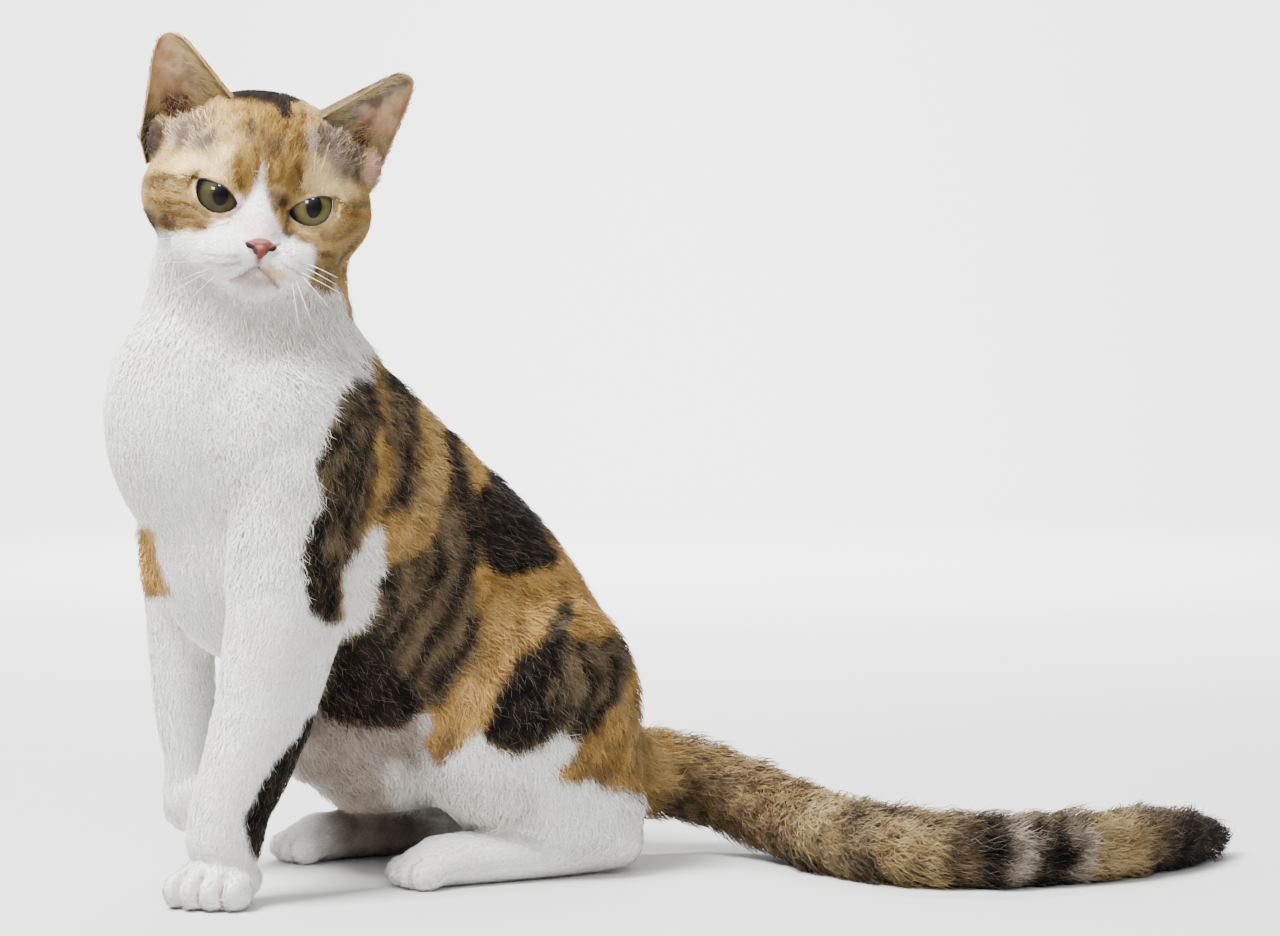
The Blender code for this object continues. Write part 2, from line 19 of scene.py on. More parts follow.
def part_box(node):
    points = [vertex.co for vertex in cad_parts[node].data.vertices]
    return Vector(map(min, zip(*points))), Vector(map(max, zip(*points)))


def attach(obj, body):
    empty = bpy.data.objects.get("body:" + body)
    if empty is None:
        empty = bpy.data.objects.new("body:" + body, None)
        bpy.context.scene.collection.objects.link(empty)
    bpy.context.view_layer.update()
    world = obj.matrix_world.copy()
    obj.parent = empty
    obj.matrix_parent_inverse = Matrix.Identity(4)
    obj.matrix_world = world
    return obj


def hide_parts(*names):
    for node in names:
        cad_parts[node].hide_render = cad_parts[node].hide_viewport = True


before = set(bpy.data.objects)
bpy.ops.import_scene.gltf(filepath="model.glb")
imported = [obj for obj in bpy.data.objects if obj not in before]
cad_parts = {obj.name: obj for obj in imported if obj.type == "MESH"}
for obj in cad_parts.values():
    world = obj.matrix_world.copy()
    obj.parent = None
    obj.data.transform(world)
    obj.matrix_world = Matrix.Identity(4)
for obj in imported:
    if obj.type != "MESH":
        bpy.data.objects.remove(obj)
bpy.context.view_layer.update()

CM = 0.01
SIDES = {1: "left", -1: "right"}
RANDOM = np.random.default_rng(7)

# Photograph: frame in pixels, and where the camera stands, in the cat's axes and centimetres
PHOTO_WIDTH = 1280
PHOTO_HEIGHT = 936
SENSOR_MM = 36
CAMERA_AZIMUTH = 60
CAMERA_ELEVATION = 2
CAMERA_DISTANCE = 160
CAMERA_TARGET = (8.8, 0.0, 17.8)
PIXELS_PER_CM = 23.5

# Fineness of balls and limbs
BALL_SIDES = 28
LIMB_SIDES = 28
LIMB_STEPS = 5
# Fineness of the blended masses
BODY_VOXEL = 0.22
HEAD_VOXEL = 0.11
SKULL_VOXEL = 0.16
PAW_VOXEL = 0.12
SKIN_VOXEL = 0.15
NOSE_VOXEL = 0.035

# Head: its place and turn, eyes and ears in its own axes
HEAD_CENTRE = (1.6, -14.4, 29.6)
HEAD_YAW = 71
HEAD_PITCH = 5
HEAD_ROLL = 8
EYE_X = 1.97
EYE_Y = -2.0
EYE_Z = -0.42
EYE_RADIUS = 1.15
LID_THICKNESS = 0.13
EAR_ROOT = {1: (3.35, 2.1), -1: (-3.1, 2.2)}
EAR_TIP = {1: (5.65, 5.6), -1: (-4.72, 5.9)}
EAR_HEIGHT = {1: 4.25, -1: 4.05}
EAR_HALF_WIDTH = 2.4
EAR_CUP = 1.5
EAR_TURN = {1: 34, -1: 22}

# Feet: place on the floor or in the air, turn outwards in degrees, and size of the paw
FORE_PAW_LEFT = (5.5, -18.15, 0)
FORE_PAW_LEFT_TURN = 40
FORE_PAW_RIGHT = (-3.35, -15.8, 3.5)
FORE_PAW_RIGHT_TURN = 10
FORE_PAW_RIGHT_DROOP = 80
FORE_PAW_RIGHT_SIZE = 0.78
WRIST = (0, 0.1, -0.9)
HIND_PAW_SIZE = 0.86
HIND_FOOT_X = {1: 4.9, -1: -4.9}
HIND_TOES_Y = {1: -8.3, -1: -9.3}
HEEL_Y = {1: 0.9, -1: 0.3}
TOES = (-1.5, -0.5, 0.5, 1.5)

# Grooves between the toes, for a paw of full size: places across it, size and way into the paw
TOE_GROOVES = (-0.9, 0.0, 0.9)
TOE_GROOVE_WIDTH = 0.22
TOE_GROOVE_DEPTH = 0.42
TOE_GROOVE_WAY = np.array((0, 0.85, -0.4))

# Stations of trunk and limbs: x, y, z, half width, half depth
TRUNK = [
    (0.0, 1.2, 4.4, 4.4, 3.4),
    (0.0, -1.0, 7.0, 5.5, 5.1),
    (0.0, -4.7, 10.2, 5.9, 6.5),
    (0.0, -8.4, 13.3, 5.8, 6.75),
    (0.0, -11.3, 16.6, 5.5, 6.3),
    (0.0, -13.3, 19.8, 5.2, 5.6),
    (0.0, -14.1, 22.6, 4.8, 4.8),
    (0.3, -14.3, 25.2, 4.3, 4.2),
    (0.9, -14.3, 27.6, 4.0, 4.0),
]

TAIL = [
    (0.0, 2.4, 4.0, 2.3, 2.3),
    (0.6, 5.4, 3.7, 2.05, 2.05),
    (1.9, 8.0, 2.95, 1.9, 1.9),
    (5.6, 9.2, 2.0, 1.84, 1.84),
    (10.2, 9.0, 1.7, 1.8, 1.8),
    (14.6, 10.0, 1.58, 1.74, 1.74),
    (16.9, 12.6, 1.53, 1.68, 1.68),
    (17.5, 15.9, 1.5, 1.64, 1.64),
    (17.2, 19.2, 1.46, 1.58, 1.58),
    (16.0, 22.6, 1.32, 1.42, 1.42),
    (14.6, 25.6, 1.05, 1.08, 1.08),
    (13.9, 27.3, 0.9, 0.6, 0.6),
]

FORELEG_LEFT = [
    (4.2, -13.8, 18.0, 2.3, 3.1),
    (4.7, -14.2, 14.6, 2.2, 2.9),
    (5.1, -14.9, 11.6, 2.1, 2.55),
    (5.2, -15.4, 9.8, 2.0, 2.35),
    (5.25, -15.9, 7.9, 1.85, 2.15),
    (5.35, -16.8, 5.6, 1.7, 1.9),
    (5.4, -17.45, 4.1, 1.55, 1.7),
    (5.45, -17.8, 2.7, 1.5, 1.65),
]

FORELEG_RIGHT = [
    (-4.0, -14.4, 18.0, 2.4, 3.0),
    (-4.1, -15.1, 14.6, 2.0, 2.3),
    (-3.7, -15.7, 11.7, 1.6, 1.7),
    (-3.6, -15.75, 9.2, 1.4, 1.45),
    (-3.5, -15.7, 7.0, 1.25, 1.3),
    (-3.4, -15.55, 5.4, 1.1, 1.15),
    (-3.4, -15.5, 4.4, 1.1, 1.15),
]

# Masses of the trunk, and its left ones that have a twin: centre, radii, tilt about X in degrees
TRUNK_BALLS = [
    ((0.0, -15.5, 19.6), (4.8, 5.0, 6.2), 8),
    ((0.0, -14.9, 14.4), (4.1, 3.5, 5.0), 10),
    ((0.0, -7.0, 7.4), (5.2, 5.2, 4.4), -30),
    ((0.0, -8.6, 5.4), (3.6, 3.4, 2.6), -20),
    ((0.0, -10.6, 6.0), (3.2, 2.6, 1.9), 0),
    ((-4.2, -6.3, 4.2), (1.9, 2.5, 2.5), 0),
]
SIDE_BALLS = [
    ((3.4, -13.6, 18.4), (2.9, 4.2, 5.0), 20),
    ((3.9, -3.0, 7.2), (3.5, 5.5, 5.6), -25),
    ((4.5, -2.7, 4.1), (2.7, 5.2, 2.6), -12),
    ((5.1, -0.9, 2.75), (2.15, 3.3, 2.2), -8),
]

# Masses of the head: centre, radii, and whether there is a twin on the other side
HEAD_MASSES = [
    ((0.0, 0.7, 0.85), (4.25, 4.2, 3.32), False),
    ((2.42, -0.1, -0.62), (2.5, 2.9, 2.3), True),
    ((0.0, -1.0, -0.9), (3.7, 2.15, 2.7), False),
    ((0.0, -1.4, -2.9), (2.8, 2.5, 1.6), False),
    ((0.0, -2.5, -2.5), (2.4, 1.7, 1.6), False),
    ((0.0, 2.0, -1.7), (3.5, 2.9, 2.6), False),
    ((2.0, -2.1, -2.5), (1.5, 1.5, 1.3), True),
]
FACE_MASSES = [
    ((2.0, -1.6, -0.1), (1.9, 1.45, 1.6), True),
    ((1.2, -3.2, -2.88), (1.55, 1.5, 1.15), True),
    ((0.0, -3.0, -3.75), (1.3, 1.15, 0.85), False),
]
# Lobe in front of each ear's root
LOBULE = (4.45, 0.3, 1.4)
LOBULE_RADII = {1: (0.6, 0.6, 1.1), -1: (0.45, 0.6, 1.1)}

NOSE_BRIDGE = [
    (0, -2.2, 1.4, 1.6, 0.9),
    (0, -2.6, -0.2, 1.15, 0.85),
    (0, -3.25, -1.4, 1.0, 0.85),
    (0, -3.7, -1.95, 0.85, 0.75),
]

# Masses of the nose's bare skin in the head's axes, and the line along which each nostril is
# pressed in: x, z
NOSE_MASSES = [
    ((0.0, -4.3, -2.02), (0.46, 0.36, 0.2)),
    ((0.0, -4.38, -2.28), (0.34, 0.35, 0.3)),
    ((0.0, -4.34, -2.52), (0.15, 0.26, 0.19)),
    ((0.4, -4.24, -2.15), (0.28, 0.32, 0.19)),
    ((-0.4, -4.24, -2.15), (0.28, 0.32, 0.19)),
]
NOSTRIL_LINE = [(0.25, -2.42), (0.33, -2.31), (0.48, -2.23), (0.75, -2.17)]
NOSTRIL_WIDTH = 0.15
NOSTRIL_DEPTH = 0.14
# Salmon and pale skin of the nose, and the dark painted shade of its nostrils and of the groove
# between them, as screen colours
NOSE_COLOURS = ((112, 50, 41), (130, 86, 76), (24, 10, 8))

# Line of the mouth on one half of the face, and the groove from it up to the nose: x, z
MOUTH = [(0.98, -3.74), (0.7, -3.52), (0.38, -3.24), (0.16, -3.08), (0.0, -3.03), (0.0, -2.7)]
MOUTH_DEPTH = 0.2
MOUTH_WIDTH = 0.24

# Opening of the left eye from its middle: x, z, from the inner corner over the top. The skin lies
# on the eyeball round it and blends into the face over a width.
EYE_OPENING = [
    (-0.88, -0.2), (-0.6, 0.16), (-0.17, 0.46), (0.35, 0.61), (0.74, 0.6), (0.87, 0.46),
    (0.88, 0.08), (0.7, -0.34), (0.32, -0.62), (-0.1, -0.7), (-0.5, -0.61), (-0.8, -0.42),
]
LID_SKIN = 0.07
LID_BLEND = 0.4

# Where each eye looks, as the pixel of the photograph that its pupil's middle falls on, sizes of
# the eyeball's parts, and how much of the light each eye gets under its lid
PUPIL_PIXEL = {1: (314.0, 206.5), -1: (220.8, 194.0)}
PUPIL_HALF_WIDTH = 0.33
PUPIL_HALF_HEIGHT = 0.49
IRIS_RADIUS = 0.86
CORNEA_RADIUS = 0.62
CORNEA_RISE = 0.06
RIM_RADIUS = 0.027
EYE_SHADE = {1: 0.92, -1: 0.36}
# How far the dark rims of the lids lie from the eyeball's middle
RIM_REACH = EYE_RADIUS + 0.045
EYE_SECTORS = 96
# Rings of an eyeball, in degrees from the gaze: close together in front and wide apart behind
EYE_RINGS = np.concatenate([np.linspace(0, 62, 75)[1:], np.linspace(62, 180, 24)[1:-1]])
# Colours of the iris by the distance from its middle, as screen colours, and of the pupil
IRIS_RAMP = [
    (0.30, (36, 27, 14)), (0.44, (70, 58, 29)), (0.60, (90, 82, 44)), (0.82, (84, 79, 52)),
    (0.95, (50, 44, 28)), (1.02, (20, 15, 12)),
]
PUPIL_RGB = (5, 4, 4)

# Hollow of the skull under each ear and where longer hair grows in front of it: centre, radii;
# thickness of the ear's wall, and its foot below the root as a share of its height
EAR_SCOOP = (3.45, 0.1, 3.0)
EAR_SCOOP_RADII = (1.5, 1.9, 1.15)
EAR_SCOOP_DEPTH = 0.85
EAR_FUZZ = (3.3, -0.6, 2.2)
EAR_FUZZ_RADII = (1.35, 1.8, 1.1)
EAR_WALL = 0.09
EAR_FOOT = -0.28
# Half of the angle that an ear's cup goes round, in degrees, and fineness of its sheet
EAR_HALF_TURN = 92
EAR_ROWS = 46
EAR_COLUMNS = 45

# Hairs of an ear: how many, whether inside it, range of s and of the turn across, length, width,
# lift, spread of the lie towards the tip (0) or away from the inner edge across the opening (1)
EAR_HAIR = [
    (2600, False, (-0.05, 0.93), (-1.0, 1.0), 0.4, 0.042, 0.05, 0.0),
    (700, True, (0.3, 0.93), (0.3, 1.0), 0.24, 0.028, 0.03, 0.0),
    (620, True, (0.0, 0.85), (-1.0, -0.5), 1.1, 0.026, 0.24, 0.55),
    (420, True, (-0.05, 0.3), (-0.8, 1.0), 0.6, 0.03, 0.3, 0.25),
    (300, True, (-0.2, 0.3), (0.6, 1.0), 0.5, 0.034, 0.25, -0.5),
]

# Kinds of fur: half of the coat's depth is taken off the skin twice; length and width of a tuft,
# how far its tip stands off, tufts per square centimetre, and how much clumps of it differ
FUR_VALUES = ("depth", "length", "width", "lift", "density", "clumping")
FUR = {
    "body": (0.13, 0.85, 0.052, 0.25, 56, 0.5),
    "chest": (0.1, 0.72, 0.05, 0.09, 62, 0.12),
    "head": (0.1, 0.5, 0.042, 0.1, 105, 0.3),
    "face": (0.07, 0.3, 0.03, 0.05, 190, 0.2),
    "leg": (0.1, 0.55, 0.046, 0.1, 68, 0.25),
    "paw": (0.07, 0.32, 0.038, 0.05, 85, 0.2),
    "tail": (0.3, 0.95, 0.052, 0.34, 64, 0.95),
}
KINDS = list(FUR)
PARTS = ["trunk", "head", "foreleg_left", "foreleg_right", "hindfoot", "tail"]
NOSE_TIP = (0.0, -4.7, -2.3)
POINTS_AT_ONCE = 20000

# Balls in the chest, the left haunch and the head that tell the lie or the kind of the coat
CHEST_LIE = (0, -0.05, -1)
HANGING_LIE = (0, -0.1, -1)
FOOT_LIE = (0, -1, -0.15)
CHEST_BONES = [
    ((0, -16.5, 20.5), 3.6), ((0, -17.0, 17.5), 3.4), ((0, -16.2, 13.5), 2.8),
    ((0.6, -16.0, 24.0), 2.8),
]
HAUNCH_BONES = [
    ((6.0, -4.5, 8.0), 2.6, (0.1, 0.35, -0.9)),
    ((6.2, -2.0, 6.0), 2.6, (0.1, 0.3, -0.95)),
    ((5.8, -1.5, 3.6), 2.0, (0, -0.1, -1)),
    ((4.6, -5.8, 4.0), 2.0, (0, -0.2, -1)),
]
HEAD_BONES = [
    ((0, 0.7, 0.6), 4.0, "head"),
    ((2.6, 0.2, -1.0), 2.5, "head"), ((-2.6, 0.2, -1.0), 2.5, "head"),
    ((0, -2.6, -2.6), 2.0, "face"), ((0, -2.2, -0.8), 1.7, "face"),
    ((1.9, -1.9, -0.5), 1.4, "face"), ((-1.9, -1.9, -0.5), 1.4, "face"),
    ((0, -2.8, -3.6), 1.2, "face"),
]

# Where the coat is told apart: chest in front of a Y, back above a Z, forearm below a Z, and the
# nape above a Z
CHEST_Y = -14.2
BACK_Z = 13.5
ELBOW_Z = 9.5
NAPE_Z = 24.2

# Pieces that the coat is divided into, each with a slot name
COAT_SLOTS = {
    "coat_chest_left": "fur_white", "coat_chest_right": "fur_white",
    "coat_back_left": "fur_tabby", "coat_back_right": "fur_tabby",
    "coat_haunch_left": "fur_ginger", "coat_haunch_right": "fur_ginger",
    "coat_head_left": "fur_ginger", "coat_head_right": "fur_ginger", "coat_face": "fur_ginger",
    "coat_foreleg_left": "fur_white", "coat_foreleg_right": "fur_white",
    "coat_feet": "fur_white", "coat_tail": "fur_tabby",
}

# Share of a tuft's length at which each of its three colours is read
STATIONS = (0.2, 0.55, 0.85)
# Colours of the hair in front of the ears, each for a range of chances
FUZZ_HAIRS = (("cream", 0, 0.22), ("fuzz", 0.22, 0.7), ("smoke", 0.7, 1))
# Share of the tufts in dark fur with grey tips, and how grey their middle and tip are; the grey
# is partly the coat's own grey hairs and partly painted glints of light on its crimped hair
WISPS = 0.3
WISP_GREY = (0.12, 0.42)

# Corners of a tuft: two rings of three and the tip, with the station that each takes its colour
# from, its painted shading (painted shade at the root, painted light at the tip), its faces and
# its place in a patch of the bake map
TUFT_STATIONS = [0, 0, 0, 1, 1, 1, 2]
TUFT_PAINTED_SHADING = (0.84, 0.84, 0.88, 0.98, 0.98, 1.0, 1.06)
TUFT_FACES = np.array([
    (0, 2, 1), (0, 1, 4), (0, 4, 3), (1, 2, 5), (1, 5, 4), (2, 0, 3), (2, 3, 5),
    (3, 4, 6), (4, 5, 6), (5, 3, 6),
])
TUFT_PATCH = 0.003
TUFT_UV = (np.array([(0.1, 0), (0.9, 0), (0.5, 0), (0.1, 0.5), (0.9, 0.5), (0.5, 0.5), (0.5, 1)])
           - 0.5) * TUFT_PATCH

# Whiskers that the photograph shows, as pixels of their root and tip, and how far their tips stand
# nearer to the camera than their roots, in centimetres
WHISKERS = [
    ((200, 240), (156, 238), 0.8), ((204, 252), (160, 250), 1.0), ((206, 262), (162, 262), 0.6),
    ((208, 272), (163, 299), 1.2), ((217, 274), (190, 304), 1.6), ((212, 268), (176, 281), 0.2),
    ((308, 264), (339, 277), 1.0), ((306, 268), (336, 283), 0.4), ((302, 276), (330, 305), 1.2),
    ((296, 280), (315, 322), 1.6), ((292, 281), (303, 328), 1.8), ((300, 272), (342, 292), 0.0),
]
# Hairs over the eyes: pixels of root and tip, and how far the tips stand nearer to the camera
BROW_HAIRS = [
    ((214, 162), (202, 134), 1.2), ((220, 163), (214, 132), 1.4),
    ((320, 174), (332, 144), 1.2), ((314, 173), (320, 142), 1.4),
]
WHISKER_RADIUS = 0.019
WHISKER_POINTS = 14

# Lighter and darker hairs of each colour of fur or skin, as screen colours; some entries, as noted
# above them, hold painted shade
PALETTE = {
    "white": ((249, 248, 244), (240, 238, 232)),
    # painted shade of the whisker rows on the muzzle
    "shade": ((192, 180, 170), (170, 157, 148)),
    # painted shade on white fur: the neck under the jaw, and the haunch
    "light_shade": ((222, 218, 210), (208, 202, 193)),
    # painted shade on white fur under the body, between the legs and on the far hind foot
    "shaded_belly": ((160, 146, 135), (136, 122, 112)),
    "blush": ((242, 222, 218), (228, 204, 199)),
    "cream": ((228, 203, 146), (206, 179, 120)),
    "tan": ((176, 146, 94), (142, 113, 66)),
    "amber": ((150, 121, 66), (114, 87, 43)),
    "umber": ((112, 80, 42), (80, 56, 28)),
    "sand": ((160, 138, 99), (116, 95, 65)),
    "ginger": ((182, 143, 82), (126, 95, 50)),
    "rufous": ((156, 114, 58), (122, 86, 42)),
    "brown": ((140, 116, 80), (90, 72, 48)),
    "agouti": ((104, 88, 65), (54, 44, 32)),
    "tabby": ((106, 91, 68), (30, 24, 19)),
    "black": ((38, 31, 25), (12, 10, 9)),
    "grey": ((162, 149, 134), (106, 94, 84)),
    "smoke": ((72, 61, 53), (30, 25, 22)),
    "fuzz": ((158, 141, 122), (92, 76, 64)),
    "ear_skin": ((184, 149, 112), (152, 116, 82)),
    "ear_fur": ((176, 153, 118), (130, 108, 80)),
    # pink skin in the depths of the ears, with painted shade over it
    "deep_ear_shade": ((122, 78, 70), (84, 48, 44)),
    "ear_pink": ((184, 145, 125), (160, 120, 102)),
    # dark lips along the mouth, and painted shade in the grooves between the toes
    "lip_and_groove_shade": ((150, 110, 104), (96, 66, 62)),
    # pinkish grey of the lower lips, with painted shade under the mouth
    "lower_lip_and_shade": ((196, 178, 173), (174, 155, 150)),
}
STREAK_ANGLE = 60
# Pixels by which noise shifts the edges of the markings, and how dark the skin is under the coat
EDGE_SHIFT = 4.5
UNDERFUR_SHADE = 0.9
# The breast beside the lifted arm lies left of this pixel and takes the arm's patch too
BREAST_X = 180
# A direction that no hair or rim follows
TUBE_HELPER = (0.3, 0.2, 0.93)

# Lights round the cat: azimuth and elevation in degrees, distance and size in metres, watts, and
# whether it is only seen in gloss, as in the eyes
LIGHTS = [
    ("key", 8, 55, 1.7, 0.7, 128, False),
    ("top", 60, 85, 1.5, 1.2, 12, False),
    ("front", 70, 30, 1.6, 0.8, 12, False),
    ("catch_low", 44, 30, 1.5, 0.36, 100, True),
    ("catch_high", 84, 50, 1.5, 0.3, 66, True),
]
BODY_TARGET = (0, 0, 0.17)
FACE_TARGET = (0, -0.15, 0.3)

# Floor in metres: its ends in front of and behind the cat, the sweep up to a wall, and its width
FLOOR_FRONT = -4.0
FLOOR_BACK = 3.1
SWEEP_RADIUS = 0.8
SWEEP_STEPS = 12
WALL_TOP = 3.4
FLOOR_HALF_WIDTH = 5.0


def new_object(name, mesh):
    made = bpy.data.objects.new(name, mesh)
    bpy.context.scene.collection.objects.link(made)
    return made


def object_from(bm, name, matrix=None):
    """Turns an edited mesh into an object, moved by a matrix."""
    mesh = bpy.data.meshes.new(name)
    bm.to_mesh(mesh)
    bm.free()
    if matrix is not None:
        mesh.transform(matrix)
    return new_object(name, mesh)


def rotation(degrees, axis):
    return Matrix.Rotation(math.radians(degrees), 4, axis)


def ball(centre, radii, tilt=0, spin=0):
    """An ellipsoid, tilted about X and then spun about Z by degrees."""
    bm = bmesh.new()
    bmesh.ops.create_uvsphere(bm, u_segments=BALL_SIDES, v_segments=BALL_SIDES // 2, radius=1)
    turn = rotation(spin, "Z") @ rotation(tilt, "X")
    scale = Matrix.Diagonal((*radii, 1))
    return object_from(bm, "ball", Matrix.Translation(centre) @ turn @ scale)


def curve_through(points, steps):
    """Catmull-Rom values from the second of some points to the last but one."""
    values = []
    for near in zip(points, points[1:], points[2:], points[3:]):
        for k in range(steps):
            t = k / steps
            values.append([
                0.5 * (2 * q + (r - p) * t + (2 * p - 5 * q + 4 * r - s) * t * t
                       + (3 * q - p - 3 * r + s) * t ** 3)
                for p, q, r, s in zip(*near)
            ])
    return values


def smooth_stations(stations, steps):
    """A smooth open line through a few stations, each with as many numbers."""
    values = curve_through([stations[0], *stations, stations[-1]], steps)
    return values + [list(stations[-1])]


def closed_curve(points, steps):
    """A smooth closed line through a few points."""
    return np.array(curve_through([points[-1], *points, points[0], points[1]], steps))


def loft(stations, across=(1, 0, 0)):
    """A limb or trunk of elliptical sections with domed ends."""
    rows = smooth_stations(stations, LIMB_STEPS)
    points = [Vector(r[:3]) for r in rows]
    rings = []
    for i, row in enumerate(rows):
        along = (points[min(i + 1, len(rows) - 1)] - points[max(i - 1, 0)]).normalized()
        side = (Vector(across) - along * along.dot(Vector(across))).normalized()
        rings.append((points[i], along, side, along.cross(side), row[3], row[4]))
    rings = round_end(rings[0], -1)[::-1] + rings + round_end(rings[-1], 1)
    bm = bmesh.new()
    loops = []
    for centre, _, side, front, wide, deep in rings:
        angles = [2 * math.pi * k / LIMB_SIDES for k in range(LIMB_SIDES)]
        loops.append([
            bm.verts.new(centre + (side * (wide * math.cos(a)) + front * (deep * math.sin(a))))
            for a in angles])
    for low, high in zip(loops, loops[1:]):
        for k in range(LIMB_SIDES):
            n = (k + 1) % LIMB_SIDES
            bm.faces.new((low[k], low[n], high[n], high[k]))
    bm.faces.new(loops[0][::-1])
    bm.faces.new(loops[-1])
    bmesh.ops.recalc_face_normals(bm, faces=bm.faces)
    return object_from(bm, "loft")


def round_end(ring, sign, count=4):
    """Rings that shrink past an end, so that it closes as a dome."""
    centre, along, side, front, wide, deep = ring
    reach = min(wide, deep)
    made = []
    for k in range(1, count + 1):
        angle = 0.5 * math.pi * k / (count + 0.35)
        shrink = math.cos(angle)
        made.append((centre + along * (sign * reach * math.sin(angle)), along, side, front,
                     wide * shrink, deep * shrink))
    return made


def join(name, pieces):
    bm = bmesh.new()
    for piece in pieces:
        bm.from_mesh(piece.data)
        bpy.data.objects.remove(piece)
    return object_from(bm, name)


def apply_modifiers(obj):
    graph = bpy.context.evaluated_depsgraph_get()
    mesh = bpy.data.meshes.new_from_object(obj.evaluated_get(graph))
    obj.modifiers.clear()
    obj.data = mesh
    return obj


def blend(name, pieces, voxel, rounds):
    """Melts overlapping masses into one closed surface and relaxes it."""
    obj = join(name, pieces)
    remesh = obj.modifiers.new("melt", "REMESH")
    remesh.mode = "VOXEL"
    remesh.voxel_size = voxel
    relax = obj.modifiers.new("relax", "SMOOTH")
    relax.factor = 0.5
    relax.iterations = rounds
    return apply_modifiers(obj)


HEAD_MATRIX = Matrix.Translation(HEAD_CENTRE) @ (
    rotation(HEAD_YAW, "Z") @ rotation(HEAD_PITCH, "X") @ rotation(HEAD_ROLL, "Y"))


def on_head(piece):
    """Moves a shape from the head's own axes to its place."""
    piece.data.transform(HEAD_MATRIX)
    return piece


def transformed(points, matrix):
    matrix = np.array(matrix)
    return np.asarray(points) @ matrix[:3, :3].T + matrix[:3, 3]


def in_head_axes(points):
    return transformed(points, HEAD_MATRIX.inverted())


def in_half_head(points):
    """Points in the head's axes, with its right half laid on the left one."""
    q = in_head_axes(points)
    q[:, 0] = np.abs(q[:, 0])
    return q


def from_head_axes(points):
    return transformed(points, HEAD_MATRIX)


def trunk_masses():
    pieces = [loft(TRUNK)] + [ball(*row) for row in TRUNK_BALLS]
    for side in SIDES:
        pieces += [ball((side * x, y, z), radii, tilt) for (x, y, z), radii, tilt in SIDE_BALLS]
    return pieces


def paw(stations, matrix, size=1.0):
    """The end of a limb with four toes and the pad mass behind them."""
    toes = [ball((0, 0.25, 1.1 * size), (1.75 * size, 1.9 * size, 1.15 * size))]
    for k in TOES:
        reach = (-0.9 - 0.45 * (1 - abs(k) / 1.5)) * size
        toes.append(ball((k * 0.9 * size, reach, 0.74 * size),
                         (0.6 * size, 1.0 * size, 0.82 * size), spin=-6 * k))
    for piece in toes:
        piece.data.transform(matrix)
    return [loft(stations)] + toes


def left_paw_matrix():
    return Matrix.Translation(FORE_PAW_LEFT) @ rotation(FORE_PAW_LEFT_TURN, "Z")


def right_paw_matrix():
    """The lifted paw hangs from the wrist with its toes down."""
    return (Matrix.Translation(FORE_PAW_RIGHT) @ rotation(FORE_PAW_RIGHT_TURN, "Z")
            @ rotation(FORE_PAW_RIGHT_DROOP, "X") @ Matrix.Translation(WRIST))


def hind_paw_matrix(side):
    return Matrix.Translation((HIND_FOOT_X[side], HIND_TOES_Y[side] + 0.3, 0))


def paw_matrices():
    """Axes of each paw, in which its toes point to -Y, with its size."""
    return [(left_paw_matrix(), 1.0), (right_paw_matrix(), FORE_PAW_RIGHT_SIZE),
            *((hind_paw_matrix(side), HIND_PAW_SIZE) for side in SIDES)]


def in_paws(points):
    """Points in the axes and the size of each paw in turn, with the paw's matrix."""
    for matrix, size in paw_matrices():
        yield transformed(points, matrix.inverted()) / size, matrix


def hind_foot(side):
    x, toe_y, heel_y = HIND_FOOT_X[side], HIND_TOES_Y[side], HEEL_Y[side]
    sole = [
        (x + side * 0.1, heel_y, 1.45, 1.35, 1.35),
        (x + side * 0.1, 0.65 * heel_y + 0.35 * toe_y, 1.25, 1.4, 1.25),
        (x, 0.3 * heel_y + 0.7 * toe_y, 1.1, 1.45, 1.15),
        (x, toe_y + 0.6, 1.05, 1.4, 1.1),
    ]
    return paw(sole, hind_paw_matrix(side), HIND_PAW_SIZE)


def masses(table):
    pieces = []
    for (x, y, z), radii, twin in table:
        for side in (1, -1) if twin else (1,):
            pieces.append(on_head(ball((side * x, y, z), radii)))
    return pieces


def eye_centre(side):
    return (side * EYE_X, EYE_Y, EYE_Z)


def head_pieces():
    skull = blend("skull", masses(HEAD_MASSES) + [loft(TRUNK[-4:])], SKULL_VOXEL, 26)
    pieces = [skull, on_head(loft(NOSE_BRIDGE))] + masses(FACE_MASSES)
    lid_ball = (EYE_RADIUS + LID_THICKNESS,) * 3
    for side in SIDES:
        pieces.append(on_head(ball(eye_centre(side), lid_ball)))
        pieces.append(on_head(ball((side * LOBULE[0], *LOBULE[1:]), LOBULE_RADII[side])))
    return pieces


def find_shift():
    """How far the frame is moved from the cat's own axes, in metres, from the left eye."""
    low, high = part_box("eye_left")
    return (low + high) / 2 - HEAD_MATRIX @ Vector(eye_centre(1)) * CM


SHIFT = find_shift()


def place(obj):
    """Turns a piece from centimetres in the cat's axes into the frame's metres."""
    obj.data.transform(Matrix.Translation(SHIFT) @ Matrix.Scale(CM, 4))
    return obj


def vertex_array(mesh, what="co"):
    values = np.empty(len(mesh.vertices) * 3)
    mesh.vertices.foreach_get(what, values)
    return values.reshape(-1, 3)


def set_vertices(mesh, co):
    mesh.vertices.foreach_set("co", np.ascontiguousarray(co, dtype=np.float32).ravel())
    mesh.update()


def smooth_step(low, high, value):
    t = np.clip((value - low) / (high - low), 0, 1)
    return t * t * (3 - 2 * t)


def mix(a, b, t):
    return a + (b - a) * t


